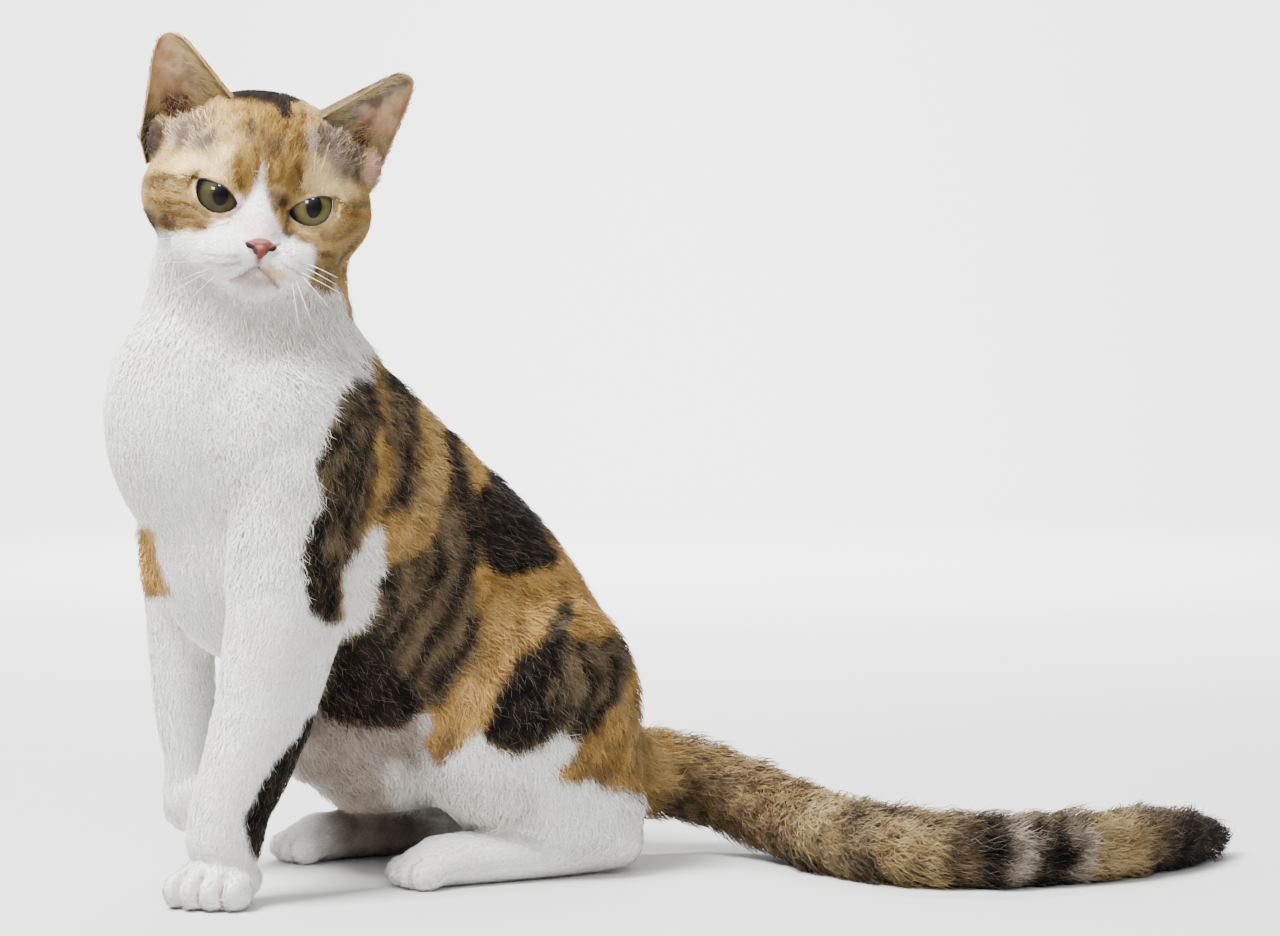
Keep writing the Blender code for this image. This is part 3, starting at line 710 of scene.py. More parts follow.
def distance_to_lines(x, y, points, closed=False):
    """Distance in a plane to a line of several stretches."""
    ends = np.roll(points, -1, axis=0) if closed else points[1:]
    nearest = np.full(len(x), 1e9)
    for (ax, ay), (bx, by) in zip(points, ends):
        dx, dy = bx - ax, by - ay
        t = np.clip(((x - ax) * dx + (y - ay) * dy) / max(dx * dx + dy * dy, 1e-9), 0, 1)
        nearest = np.minimum(nearest, np.hypot(x - ax - t * dx, y - ay - t * dy))
    return nearest


def inside_distance(x, y, outline):
    """Signed distance in a plane to a closed outline, positive inside."""
    outline = np.asarray(outline, float)
    inside = np.zeros(len(x), bool)
    for (ax, ay), (bx, by) in zip(outline, np.roll(outline, -1, axis=0)):
        if ay != by:
            crosses = ((ay > y) != (by > y)) & (x < (bx - ax) * (y - ay) / (by - ay) + ax)
            inside ^= crosses
    distance = distance_to_lines(x, y, outline, closed=True)
    return np.where(inside, distance, -distance)


def noise(points, size, seed=0):
    """Smooth values from -1 to 1 that vary over a length, the same on each run."""
    scaled = np.asarray(points) / size
    base = np.floor(scaled).astype(np.int64)
    t = scaled - base
    t = t * t * (3 - 2 * t)
    total = np.zeros(len(scaled))
    for corner in np.ndindex(2, 2, 2):
        cell = base + corner
        value = (cell[:, 0] * 374761393 + cell[:, 1] * 668265263 + cell[:, 2] * 915488749
                 + seed * 1274126177) & 0xFFFFFFFF
        value = ((value ^ (value >> 13)) * 1274126177) & 0xFFFFFFFF
        value = ((value ^ (value >> 16)) & 0xFFFF) / 32767.5 - 1
        weight = np.prod(np.where(corner, t, 1 - t), axis=1)
        total += value * weight
    return total


def station_bones(stations, kind, part, reverse=False):
    """Balls along a limb, which run from its root to its end."""
    rows = smooth_stations(stations[::-1] if reverse else stations, 3)
    made = []
    for k, row in enumerate(rows):
        a, b = rows[max(k - 1, 0)], rows[min(k + 1, len(rows) - 1)]
        flow = (Vector(b[:3]) - Vector(a[:3])).normalized()
        made.append((row[:3], min(row[3], row[4]), flow, kind, part))
    return made


def make_bones():
    """Balls inside the cat that tell the kind of fur, the part and the lie near them."""
    made = station_bones(TRUNK[:-1], "body", "trunk", reverse=True)
    made += station_bones(TAIL[1:], "tail", "tail")
    made += station_bones(FORELEG_LEFT[:2], "body", "foreleg_left")
    made += station_bones(FORELEG_RIGHT[:2], "body", "foreleg_right")
    made += station_bones(FORELEG_LEFT[2:], "leg", "foreleg_left")
    made += station_bones(FORELEG_RIGHT[2:], "leg", "foreleg_right")
    for centre, radius in CHEST_BONES:
        made.append((centre, radius, Vector(CHEST_LIE), "chest", "trunk"))
    turn = math.radians(FORE_PAW_LEFT_TURN)
    forward = Vector((math.sin(turn), -math.cos(turn), -0.25)).normalized()
    ankle = Vector(FORE_PAW_LEFT) + Vector((0, 0, 1))
    made.append((ankle, 1.3, forward, "paw", "foreleg_left"))
    made.append((Vector(FORE_PAW_LEFT) + forward + Vector((0, 0, 1)), 1.2, forward, "paw",
                 "foreleg_left"))
    for drop in (0.4, -0.8):
        made.append((Vector(FORE_PAW_RIGHT) + Vector((0, 0, drop)), 0.95, Vector(HANGING_LIE),
                     "paw", "foreleg_right"))
    for side in SIDES:
        x, toe, heel = HIND_FOOT_X[side], HIND_TOES_Y[side], HEEL_Y[side]
        for k in range(7):
            y = heel + (toe - heel) * k / 6
            made.append(((x, y, 1.2), 1.1, Vector(FOOT_LIE), "paw", "hindfoot"))
        for (out, y, z), radius, (across, *flow) in HAUNCH_BONES:
            made.append(((side * out, y, z), radius,
                         Vector((side * across, *flow)).normalized(), "body", "trunk"))
    for spot, radius, kind in HEAD_BONES:
        made.append((HEAD_MATRIX @ Vector(spot), radius, Vector((0, 0, 0)), kind, "head"))
    return made


BONES = make_bones()
BONE_CENTRES = np.array([list(b[0]) for b in BONES])
BONE_RADII = np.array([b[1] for b in BONES])
BONE_FLOWS = np.array([list(b[2]) for b in BONES])
BONE_KINDS = np.array([KINDS.index(b[3]) for b in BONES])
BONE_PARTS = np.array([PARTS.index(b[4]) for b in BONES])


def read_bones(points):
    """For each point the weights of the kinds of fur, its part and the lie of the coat."""
    kinds = np.zeros((len(points), len(KINDS)))
    parts = np.zeros(len(points), int)
    flows = np.zeros((len(points), 3))
    nose_tip = from_head_axes([NOSE_TIP])[0]
    head = BONE_PARTS == PARTS.index("head")
    for start in range(0, len(points), POINTS_AT_ONCE):
        some = slice(start, start + POINTS_AT_ONCE)
        p = points[some]
        gap = np.linalg.norm(p[:, None] - BONE_CENTRES[None], axis=2) - BONE_RADII
        weight = np.exp(-3.0 * (gap - gap.min(axis=1, keepdims=True)))
        for k in range(len(KINDS)):
            kinds[some, k] = weight[:, BONE_KINDS == k].max(axis=1)
        parts[some] = BONE_PARTS[gap.argmin(axis=1)]
        radial = p - nose_tip
        radial /= np.linalg.norm(radial, axis=1, keepdims=True) + 1e-9
        flows[some] = weight @ BONE_FLOWS + radial * weight[:, head].sum(axis=1, keepdims=True)
    kinds /= kinds.sum(axis=1, keepdims=True)
    return kinds, parts, flows


def fur_value(kinds, what):
    k = FUR_VALUES.index(what)
    return kinds @ np.array([values[k] for values in FUR.values()])


LID_CURVE = closed_curve(EYE_OPENING, 5)


def shape_lids(points):
    """Draws the skin on to the eyeballs round their openings and opens it between the lids."""
    q = in_head_axes(points)
    for side in SIDES:
        u, w = side * q[:, 0] - EYE_X, q[:, 2] - EYE_Z
        near = (np.hypot(u, w) < 1.6) & (q[:, 1] < EYE_Y + 0.5)
        spread = u[near] ** 2 + w[near] ** 2
        outside = -inside_distance(u[near], w[near], LID_CURVE)
        lid = EYE_Y - np.sqrt(np.maximum((EYE_RADIUS + LID_SKIN) ** 2 - spread, 0.06))
        blended = mix(lid, q[near, 1], smooth_step(0, LID_BLEND, outside))
        ball_front = EYE_Y - np.sqrt(np.maximum(EYE_RADIUS ** 2 - spread, 0.02))
        sunk = mix(lid, ball_front + 0.3, smooth_step(0, 0.06, -outside))
        q[near, 1] = np.where(outside > 0, blended, sunk)
    return from_head_axes(q)


def from_mouth(q):
    """Distance from the line of the mouth, seen from the front, of points in the head's axes."""
    return distance_to_lines(np.abs(q[:, 0]), q[:, 2], np.array(MOUTH))


def crease_mouth(points):
    """Presses the line of the mouth and the groove under the nose into the face."""
    q = in_head_axes(points)
    near = from_mouth(q) / MOUTH_WIDTH
    press = MOUTH_DEPTH * np.clip(1 - near * near, 0, 1) ** 2
    q[:, 1] += np.where(q[:, 1] < -2.0, press, 0)
    return from_head_axes(q)


def toe_creases(points):
    """How strongly each point lies in a groove between two toes, and the way into the paw."""
    strength = np.zeros(len(points))
    inward = np.zeros((len(points), 3))
    for q, matrix in in_paws(points):
        span = smooth_step(-0.7, -1.3, q[:, 1]) * (np.abs(q[:, 0]) < 2.2) * (q[:, 1] > -3.2)
        span *= smooth_step(1.75, 1.35, q[:, 2]) * (q[:, 2] > -0.3)
        for middle in TOE_GROOVES:
            bent = middle * (1 - 0.12 * (q[:, 1] + 1.0))
            groove = np.clip(1 - ((q[:, 0] - bent) / TOE_GROOVE_WIDTH) ** 2, 0, 1) ** 1.5 * span
            more = groove > strength
            strength[more] = groove[more]
            inward[more] = np.array(matrix)[:3, :3] @ TOE_GROOVE_WAY
    return strength, inward


def part_toes(points):
    strength, inward = toe_creases(points)
    return points + inward * (TOE_GROOVE_DEPTH * strength)[:, None]


def near_toes(points):
    near = np.zeros(len(points), bool)
    for q, _ in in_paws(points):
        near |= (np.abs(q[:, 0]) < 1.5) & (q[:, 1] < -0.4) & (q[:, 1] > -3) & (np.abs(q[:, 2]) < 2)
    return near


def refine(obj, chosen, rounds=2):
    """Splits the faces where chosen(points) holds and relaxes the new points."""
    bm = bmesh.new()
    bm.from_mesh(obj.data)
    bm.verts.ensure_lookup_table()
    flags = chosen(vertex_array(obj.data))
    edges = [e for e in bm.edges if flags[e.verts[0].index] and flags[e.verts[1].index]]
    bmesh.ops.subdivide_edges(bm, edges=edges, cuts=1, use_grid_fill=True)
    bm.to_mesh(obj.data)
    obj.data.update()
    flags = chosen(vertex_array(obj.data))
    bm.verts.ensure_lookup_table()
    inner = [v for v in bm.verts if flags[v.index]]
    for _ in range(rounds):
        bmesh.ops.smooth_vert(bm, verts=inner, factor=0.5, use_axis_x=True, use_axis_y=True,
                              use_axis_z=True)
    bm.to_mesh(obj.data)
    bm.free()
    obj.data.update()


def on_face(points):
    q = in_head_axes(points)
    return (q[:, 1] < -0.8) & (np.linalg.norm(q - (0, -2.8, -1.6), axis=1) < 3.7)


def near_eyes(points):
    q = in_half_head(points)
    return (np.hypot(q[:, 0] - EYE_X, q[:, 2] - EYE_Z) < 1.35) & (q[:, 1] < EYE_Y + 0.3)


def near_mouth(points):
    q = in_head_axes(points)
    return (from_mouth(q) < 0.4) & (q[:, 1] < -2.0)


def build_skin():
    """The whole skin as one surface, with lids, mouth, toes and the hollows of the ears."""
    trunk = blend("trunk", trunk_masses(), BODY_VOXEL, 30)
    limbs = [loft(FORELEG_LEFT), loft(FORELEG_RIGHT), loft(TAIL, across=(0, 0, 1))]
    body = blend("body", [trunk] + limbs, BODY_VOXEL, 24)
    head = blend("head", head_pieces(), HEAD_VOXEL, 15)
    paws = [paw(FORELEG_LEFT[4:], left_paw_matrix()),
            paw(FORELEG_RIGHT[3:], right_paw_matrix(), FORE_PAW_RIGHT_SIZE)]
    paws += [hind_foot(side) for side in SIDES]
    skin = blend("skin", [body, head] + [blend("paw", made, PAW_VOXEL, 4) for made in paws],
                 SKIN_VOXEL, 4)
    for _ in range(2):
        points = vertex_array(skin.data)
        depth = fur_value(read_bones(points)[0], "depth") / 2
        set_vertices(skin.data, points - vertex_array(skin.data, "normal") * depth[:, None])
    points = vertex_array(skin.data)
    set_vertices(skin.data, scoop_ears(points, vertex_array(skin.data, "normal")))
    for chosen in (on_face, near_eyes, near_mouth, near_toes):
        refine(skin, chosen)
    points = crease_mouth(shape_lids(part_toes(vertex_array(skin.data))))
    set_vertices(skin.data, points)
    return skin


def direction_of(azimuth, elevation):
    """Direction in which something stands, by degrees to the cat's left of -Y and upwards."""
    a, e = math.radians(azimuth), math.radians(elevation)
    return Vector((math.sin(a) * math.cos(e), -math.cos(a) * math.cos(e), math.sin(e)))


def camera_axes():
    """Directions to the right, upwards and to the back of the photograph's camera."""
    azimuth = math.radians(CAMERA_AZIMUTH)
    back = direction_of(CAMERA_AZIMUTH, CAMERA_ELEVATION)
    right = Vector((math.cos(azimuth), math.sin(azimuth), 0))
    return right, back.cross(right), back


RIGHT, UP, BACK = (np.array(axis) for axis in camera_axes())
CAMERA_SPOT = np.array(CAMERA_TARGET) + BACK * CAMERA_DISTANCE
FOCAL = PIXELS_PER_CM * CAMERA_DISTANCE


def photo_pixels(points):
    """Where points fall in the photograph."""
    away = points - CAMERA_SPOT
    scale = FOCAL / -(away @ BACK)
    return PHOTO_WIDTH / 2 + scale * (away @ RIGHT), PHOTO_HEIGHT / 2 - scale * (away @ UP)


def pixel_ray(x, y):
    """Start and direction of the line of sight through a pixel of the photograph."""
    ray = RIGHT * (x - PHOTO_WIDTH / 2) / FOCAL - UP * (y - PHOTO_HEIGHT / 2) / FOCAL - BACK
    return CAMERA_SPOT, ray / np.linalg.norm(ray)


def linear(rgb):
    value = np.array(rgb) / 255
    return np.where(value < 0.04045, value / 12.92, ((value + 0.055) / 1.055) ** 2.4)


TONES = {name: (linear(light), linear(dark)) for name, (light, dark) in PALETTE.items()}


def streaks(points):
    """Noise drawn out along the slant of the marbling on the flanks."""
    angle = math.radians(STREAK_ANGLE)
    along = RIGHT * math.cos(angle) + UP * math.sin(angle)
    squeezed = points - 0.72 * (points @ along)[:, None] * along
    return noise(squeezed, 0.42, 11) + 0.6 * noise(squeezed, 0.17, 12)


def tone(name, shade_value):
    """A colour of the palette at each point, from its light end at -0.7 to its dark one at 0.7."""
    light, dark = TONES[name]
    return mix(light, dark, smooth_step(-0.7, 0.7, shade_value)[:, None])


# Patches of the left side and the front, as outlines in pixels of the photograph, each painted
# over the ones before: colour, softness of the edge in pixels, outline
# Painted shade on the white of the neck under the jaw
NECK_SHADE = ("light_shade", 14, [(166, 266), (200, 276), (226, 292), (250, 302), (276, 300), (300, 290),
    (322, 298), (338, 320), (312, 350), (270, 364), (220, 350), (178, 316)])
# Painted shade on the white under the body and between the legs
BELLY_SHADE = ("shaded_belly", 22, [(296, 700), (330, 690), (380, 700), (425, 706), (436, 745),
    (428, 790), (424, 872), (340, 884), (326, 800), (290, 780)])
BODY_PATCHES = [
    NECK_SHADE,
    BELLY_SHADE,
    # painted shade on the white of the haunch and the hind leg
    ("light_shade", 14, [(392, 770), (440, 776), (500, 778), (540, 800), (524, 838), (470, 842),
        (430, 832), (396, 818)]),
    ("ginger", 4, [(336, 280), (345, 318), (362, 350), (367, 384), (345, 396), (334, 416),
        (322, 444), (318, 488), (318, 508), (305, 545), (304, 568), (310, 595), (318, 618),
        (338, 626), (343, 607), (344, 581), (352, 562), (366, 538), (383, 532), (386, 560),
        (380, 590), (370, 621), (345, 645), (331, 680), (321, 702), (338, 719), (368, 728),
        (395, 727), (412, 721), (424, 715), (436, 722), (426, 748), (430, 764), (446, 766),
        (464, 749), (480, 731), (492, 744), (512, 760), (538, 750), (562, 730), (578, 738),
        (574, 754), (560, 770), (563, 786), (584, 784), (609, 796), (632, 803), (648, 824),
        (672, 830), (720, 760), (700, 600), (560, 430), (440, 300), (370, 250)]),
    ("tan", 8, [(404, 380), (428, 408), (446, 438), (444, 490), (438, 530), (416, 554), (396, 562),
        (410, 520), (424, 470), (418, 424)]),
    ("tan", 10, [(604, 690), (640, 704), (680, 730), (690, 800), (640, 790), (624, 730)]),
    ("brown", 6, [(366, 328), (386, 346), (402, 384), (394, 396), (374, 374), (366, 350)]),
    ("agouti", 6, [(384, 362), (398, 372), (409, 394), (418, 428), (421, 466), (413, 506),
        (392, 519), (379, 513), (388, 482), (386, 442), (378, 406), (372, 376)]),
    ("tabby", 4, [(352, 380), (368, 385), (376, 400), (378, 435), (375, 476), (368, 513),
        (360, 542), (350, 563), (343, 582), (341, 608), (338, 624), (326, 624), (314, 614),
        (307, 591), (301, 566), (303, 547), (318, 510), (314, 487), (318, 466), (324, 442),
        (334, 416), (342, 395)]),
    ("black", 5, [(322, 484), (331, 480), (330, 520), (321, 552), (328, 580), (337, 584),
        (336, 612), (320, 614), (308, 592), (310, 562), (316, 520)]),
    ("agouti", 4, [(447, 438), (470, 484), (477, 530), (480, 560), (471, 578), (479, 617),
        (481, 638), (473, 657), (460, 680), (444, 704), (426, 710), (412, 721), (395, 727),
        (368, 728), (338, 719), (321, 702), (327, 680), (335, 654), (355, 639), (371, 620),
        (380, 592), (382, 576), (395, 565), (415, 555), (434, 544), (437, 529), (443, 487)]),
    ("black", 7, [(321, 702), (338, 719), (368, 728), (395, 727), (412, 721), (428, 710),
        (424, 694), (404, 680), (392, 660), (380, 630), (371, 622), (355, 639), (334, 655),
        (327, 680)]),
    ("ginger", 5, [(470, 486), (488, 474), (494, 480), (480, 500), (474, 510)]),
    ("black", 4, [(492, 470), (512, 487), (541, 523), (556, 552), (555, 564), (531, 571),
        (515, 578), (489, 574), (480, 560), (474, 530), (472, 500), (482, 490)]),
    ("tabby", 5, [(560, 607), (573, 622), (570, 638), (600, 642), (626, 630), (630, 650),
        (626, 692), (615, 707), (594, 731), (575, 738), (561, 731), (545, 741), (534, 751),
        (514, 759), (506, 753), (491, 742), (488, 722), (494, 706), (499, 690), (512, 670),
        (525, 659), (542, 638)]),
    ("black", 6, [(528, 648), (545, 640), (562, 646), (558, 670), (548, 700), (544, 734),
        (524, 756), (506, 752), (490, 738), (490, 712), (502, 690), (514, 668)]),
    ("agouti", 6, [(580, 656), (604, 650), (622, 652), (618, 690), (600, 700), (584, 690)]),
]

# Dark stripes on the flank: half width in pixels and the points that they pass
BODY_STRIPES = [
    (5.2, [(446, 438), (455, 468), (464, 503), (472, 534), (470, 561), (460, 595), (449, 618),
        (430, 645)]),
    (5.0, [(437, 542), (439, 568), (430, 592), (414, 615), (399, 634), (382, 657)]),
    (5.2, [(384, 576), (394, 599), (386, 622), (368, 649)]),
    (5.0, [(472, 622), (468, 645), (449, 668), (437, 688)]),
    (4.2, [(428, 646), (422, 665), (407, 684)]),
    (3.0, [(556, 660), (560, 690), (544, 724)]),
    (3.4, [(584, 664), (592, 694), (574, 726)]),
    (3.2, [(614, 664), (612, 690), (598, 716)]),
    (3.0, [(338, 420), (352, 442), (342, 478)]),
    (2.8, [(366, 396), (368, 440), (358, 490), (342, 536)]),
    (3.0, [(394, 384), (404, 410), (408, 450), (402, 500)]),
    (2.2, [(372, 352), (384, 372), (392, 392)]),
]
# Darker streaks in the ginger of the flank and the haunch; the wide one at the lower end of the
# ginger band is painted shade
BODY_STREAKS = [
    (3.4, [(512, 596), (494, 640), (476, 682), (450, 742)]),
    (2.6, [(540, 600), (520, 640), (504, 668)]),
    (2.8, [(488, 604), (478, 640), (480, 668)]),
    (3.0, [(574, 752), (598, 768), (624, 778), (640, 764)]),
    (2.6, [(580, 740), (604, 748), (634, 744)]),
    (2.6, [(622, 700), (636, 722), (640, 748)]),
    (2.4, [(330, 446), (326, 470), (324, 500)]),
    (2.6, [(410, 470), (424, 500), (424, 530)]),
    # painted shade at the lower end of the ginger band
    (8.0, [(456, 736), (442, 764)]),
    (3.0, [(566, 762), (590, 776), (616, 790), (640, 800)]),
    (2.8, [(636, 700), (648, 724), (652, 752), (650, 780)]),
    (2.6, [(556, 590), (580, 604), (604, 616)]),
]
# Faint grey marks on the chest
CHEST_MARKS = [
    (1.8, [(201, 465), (208, 460), (218, 458), (232, 457)]),
    (1.5, [(224, 489), (234, 486), (244, 487)]),
]
# Stripes and lines of the head: colour, half width and points
HEAD_STRIPES = [
    ("umber", 2.5, [(243, 158), (239, 165), (238, 174), (241, 187)]),
    ("umber", 1.9, [(256, 148), (258, 158), (258, 166), (255, 177)]),
    ("umber", 1.7, [(269, 153), (270, 168), (270, 183)]),
    ("umber", 2.1, [(282, 157), (283, 170), (280, 179), (274, 182)]),
    ("umber", 2.1, [(297, 166), (300, 174), (300, 182), (295, 191)]),
    ("tabby", 3.6, [(251, 120), (252, 130), (250, 139)]),
    ("tabby", 1.1, [(262, 127), (263, 131), (262, 135)]),
    ("umber", 4.0, [(299, 132), (295, 140), (291, 147)]),
    ("umber", 1.8, [(288, 120), (286, 128), (283, 134)]),
    ("umber", 1.5, [(268, 140), (270, 148), (273, 156)]),
    ("umber", 1.5, [(279, 140), (279, 150), (276, 158)]),
    ("umber", 1.4, [(245, 106), (249, 112), (250, 118)]),
    ("umber", 1.5, [(303, 108), (305, 116), (302, 124)]),
    ("umber", 1.5, [(148, 177), (160, 175), (172, 175), (186, 176), (200, 179)]),
    ("umber", 2.0, [(150, 199), (164, 202), (182, 204), (196, 208)]),
    ("umber", 2.4, [(160, 223), (176, 226), (190, 224), (204, 227)]),
    ("umber", 1.4, [(150, 187), (164, 189), (178, 193)]),
    ("umber", 1.5, [(166, 212), (180, 216), (194, 218)]),
    ("brown", 2.2, [(333, 198), (344, 203), (356, 206), (370, 204)]),
    ("rufous", 2.2, [(342, 212), (356, 214), (368, 220)]),
    ("brown", 2.4, [(326, 240), (338, 240), (350, 234), (362, 224)]),
    ("brown", 2.6, [(320, 254), (334, 256), (346, 250), (358, 240)]),
    ("brown", 2.6, [(318, 270), (330, 270), (344, 260)]),
    ("brown", 2.6, [(314, 286), (324, 284), (334, 276)]),
    ("tabby", 1.8, [(288, 212), (287, 222), (285, 232)]),
    ("brown", 2.2, [(284, 230), (289, 236), (292, 230)]),
    ("tabby", 0.5, [(243, 240.5), (247, 243), (252, 246)]),
    ("tabby", 0.5, [(280, 244), (275, 246), (269, 249)]),
    ("shade", 0.9, [(200, 253), (216, 256), (236, 256)]),
    ("shade", 0.9, [(202, 262), (220, 265), (240, 263)]),
    ("shade", 0.8, [(288, 256), (300, 262), (310, 270)]),
    ("shade", 0.8, [(282, 264), (294, 270), (304, 278)]),
]

# Patches of the lifted arm and of the left forearm
RIGHT_ARM_PATCH = ("ginger", 3, [(128, 536), (150, 530), (157, 556), (164, 580), (176, 596),
    (150, 600), (130, 590)])
FOREARM_PATCH = ("black", 3, [(312, 716), (296, 738), (282, 754), (266, 776), (252, 798),
    (246, 816), (250, 852), (262, 864), (290, 850), (330, 740)])

HEAD_PATCHES = [
    NECK_SHADE,
    ("tan", 5, [(120, 235), (150, 233), (168, 229), (190, 233), (206, 232), (222, 219), (238, 212),
        (247, 203), (256, 186), (262, 162), (266, 186), (270, 200), (276, 216), (286, 230),
        (296, 238), (312, 246), (317, 262), (310, 280), (322, 294), (336, 290), (400, 240),
        (400, 60), (120, 40)]),
    ("cream", 7, [(158, 172), (186, 150), (214, 140), (238, 150), (240, 176), (220, 176),
        (196, 172), (172, 180)]),
    ("cream", 7, [(300, 184), (304, 164), (320, 152), (346, 172), (362, 200), (340, 200),
        (318, 186)]),
    ("cream", 6, [(196, 180), (206, 198), (224, 214), (240, 206), (234, 218), (214, 222),
        (196, 206), (188, 184)]),
    ("cream", 6, [(286, 218), (312, 232), (334, 216), (340, 204), (344, 220), (322, 240),
        (298, 236)]),
    ("amber", 6, [(228, 92), (300, 92), (308, 120), (306, 150), (300, 178), (282, 190), (268, 186),
        (262, 158), (256, 182), (244, 190), (234, 182), (232, 158), (240, 136), (232, 112)]),
    ("tan", 6, [(120, 168), (160, 174), (190, 178), (196, 196), (210, 212), (206, 226), (176, 228),
        (150, 226), (120, 230)]),
    ("brown", 6, [(140, 173), (166, 173), (190, 178), (190, 184), (166, 183), (142, 186)]),
    ("brown", 8, [(150, 206), (184, 210), (204, 226), (172, 231), (146, 226)]),
    ("tan", 6, [(318, 240), (344, 214), (352, 196), (380, 200), (380, 240), (340, 286), (322, 292),
        (312, 280), (318, 262)]),
    ("tan", 7, [(290, 224), (310, 232), (334, 226), (346, 214), (348, 236), (334, 262), (322, 262),
        (312, 246), (300, 240)]),
    ("brown", 7, [(334, 258), (350, 240), (360, 232), (352, 256), (336, 286), (320, 292),
        (322, 276)]),
    ("ginger", 4, [(267, 192), (276, 188), (290, 196), (289, 214), (294, 232), (286, 232),
        (276, 218), (270, 206)]),
    ("agouti", 6, [(268, 190), (282, 194), (286, 206), (276, 212), (270, 202)]),
    ("blush", 5, [(243, 222), (250, 214), (262, 212), (272, 218), (277, 232), (270, 239),
        (256, 240), (244, 238)]),
    ("blush", 4, [(236, 196), (244, 198), (247, 212), (240, 222), (232, 212)]),
    ("cream", 5, [(261, 266), (270, 264), (284, 272), (282, 281), (268, 276)]),
    # The lower lips' pinkish grey, with painted shade under the mouth
    ("lower_lip_and_shade", 9, [(236, 282), (246, 275), (257, 270), (268, 276), (276, 285), (264, 288),
        (248, 288)]),
    ("fuzz", 7, [(170, 116), (196, 122), (218, 130), (214, 148), (186, 148), (168, 144)]),
    ("fuzz", 7, [(304, 142), (318, 124), (344, 116), (360, 150), (362, 180), (342, 174),
        (322, 158)]),
    ("ear_pink", 4, [(368, 160), (384, 151), (393, 164), (382, 186), (368, 180)]),
    ("smoke", 5, [(130, 112), (152, 112), (163, 124), (165, 141), (154, 156), (130, 160)]),
    ("smoke", 5, [(130, 208), (146, 210), (154, 222), (152, 236), (130, 236)]),
    ("black", 3, [(228, 76), (300, 76), (301, 99), (293, 102), (295, 116), (289, 122), (281, 115),
        (275, 107), (262, 102), (240, 99), (226, 95)]),
    ("brown", 4, [(264, 138), (282, 138), (284, 150), (278, 160), (266, 158)]),
]

# Markings inside the ears, as the patches of the head are given
EAR_PATCHES = [
    ("ear_fur", 6, [(172, 46), (186, 54), (212, 80), (236, 98), (234, 122), (210, 124), (200, 112),
        (190, 96), (180, 82), (171, 66)]),
    ("ear_skin", 5, [(144, 60), (158, 36), (168, 40), (162, 70), (158, 100), (156, 118),
        (144, 118)]),
    # Painted shade over the pink skin in the depths of the ear
    ("deep_ear_shade", 6, [(168, 90), (178, 86), (190, 98), (199, 112), (196, 124), (180, 128),
        (168, 122), (163, 106)]),
    ("fuzz", 6, [(166, 124), (182, 119), (200, 117), (218, 124), (214, 152), (180, 152),
        (162, 142)]),
    ("smoke", 7, [(136, 112), (150, 114), (160, 121), (165, 131), (158, 148), (136, 166)]),
    ("fuzz", 6, [(298, 124), (317, 113), (353, 95), (408, 75), (412, 84), (382, 104), (352, 126),
        (332, 140), (312, 134)]),
    ("deep_ear_shade", 6, [(357, 124), (375, 117), (370, 138), (361, 158), (350, 149)]),
    ("fuzz", 6, [(306, 132), (330, 139), (350, 147), (359, 166), (352, 184), (330, 178),
        (310, 160)]),
    ("ear_pink", 5, [(364, 156), (384, 148), (392, 160), (382, 184), (364, 176)]),
]

# Patches of the right side and the back, as outlines in centimetres along the cat and up
FAR_PATCHES = [
    ("ginger", 0.25, [(-14.0, 30.0), (-14.5, 25.0), (-12.4, 21.5), (-12.8, 17.0), (-10.4, 13.0),
        (-8.4, 11.6), (-8.0, 8.2), (-5.2, 7.4), (-3.6, 5.0), (0.0, 4.4), (2.0, 2.4), (8.0, 2.0),
        (8.0, 30.0)]),
    ("tabby", 0.3, [(-13.4, 24.4), (-10.6, 24.8), (-8.6, 20.6), (-7.6, 17.0), (-9.8, 13.4),
        (-12.2, 17.2), (-12.0, 21.0)]),
    ("agouti", 0.3, [(-6.6, 17.4), (-4.6, 14.6), (-3.0, 11.0), (-4.6, 8.0), (-7.4, 8.8),
        (-7.8, 12.0)]),
    ("black", 0.3, [(-6.4, 16.8), (-4.2, 15.6), (-2.8, 12.4), (-3.8, 10.8), (-5.6, 12.4)]),
    ("tabby", 0.3, [(-1.6, 9.6), (1.2, 9.4), (2.4, 6.4), (1.4, 4.6), (-1.8, 5.2), (-2.8, 7.2)]),
]

# Lengths of the tail by where its middle line falls across the photograph, in pixels
TAIL_BANDS = [
    (560, 680, "tan"), (680, 796, "brown"), (796, 848, "sand"), (848, 884, "agouti"),
    (884, 948, "sand"), (948, 984, "agouti"), (1006, 1044, "grey"), (1076, 1100, "grey"),
    (1098, 1160, "sand"), (980, 1011, "black"), (1040, 1080, "black"), (1150, 1176, "agouti"),
    (1170, 1400, "black"),
]


def smooth_line(points):
    return np.array(smooth_stations(points, 4))


def paint(colour, name, amount, shade_value):
    return mix(colour, tone(name, shade_value), amount[:, None])


def paint_patches(colour, patches, x, y, warp, shade_value):
    for name, soft, outline in patches:
        edge = inside_distance(x, y, closed_curve(outline, 3)) + warp
        colour = paint(colour, name, smooth_step(-soft, soft, edge), shade_value)
    return colour


def line_amount(x, y, half, line, warp, outer, inner):
    """How far each point lies in a line of the photograph, from 0 to 1."""
    away = distance_to_lines(x, y, smooth_line(line)) - half + warp
    return smooth_step(outer, inner, away)


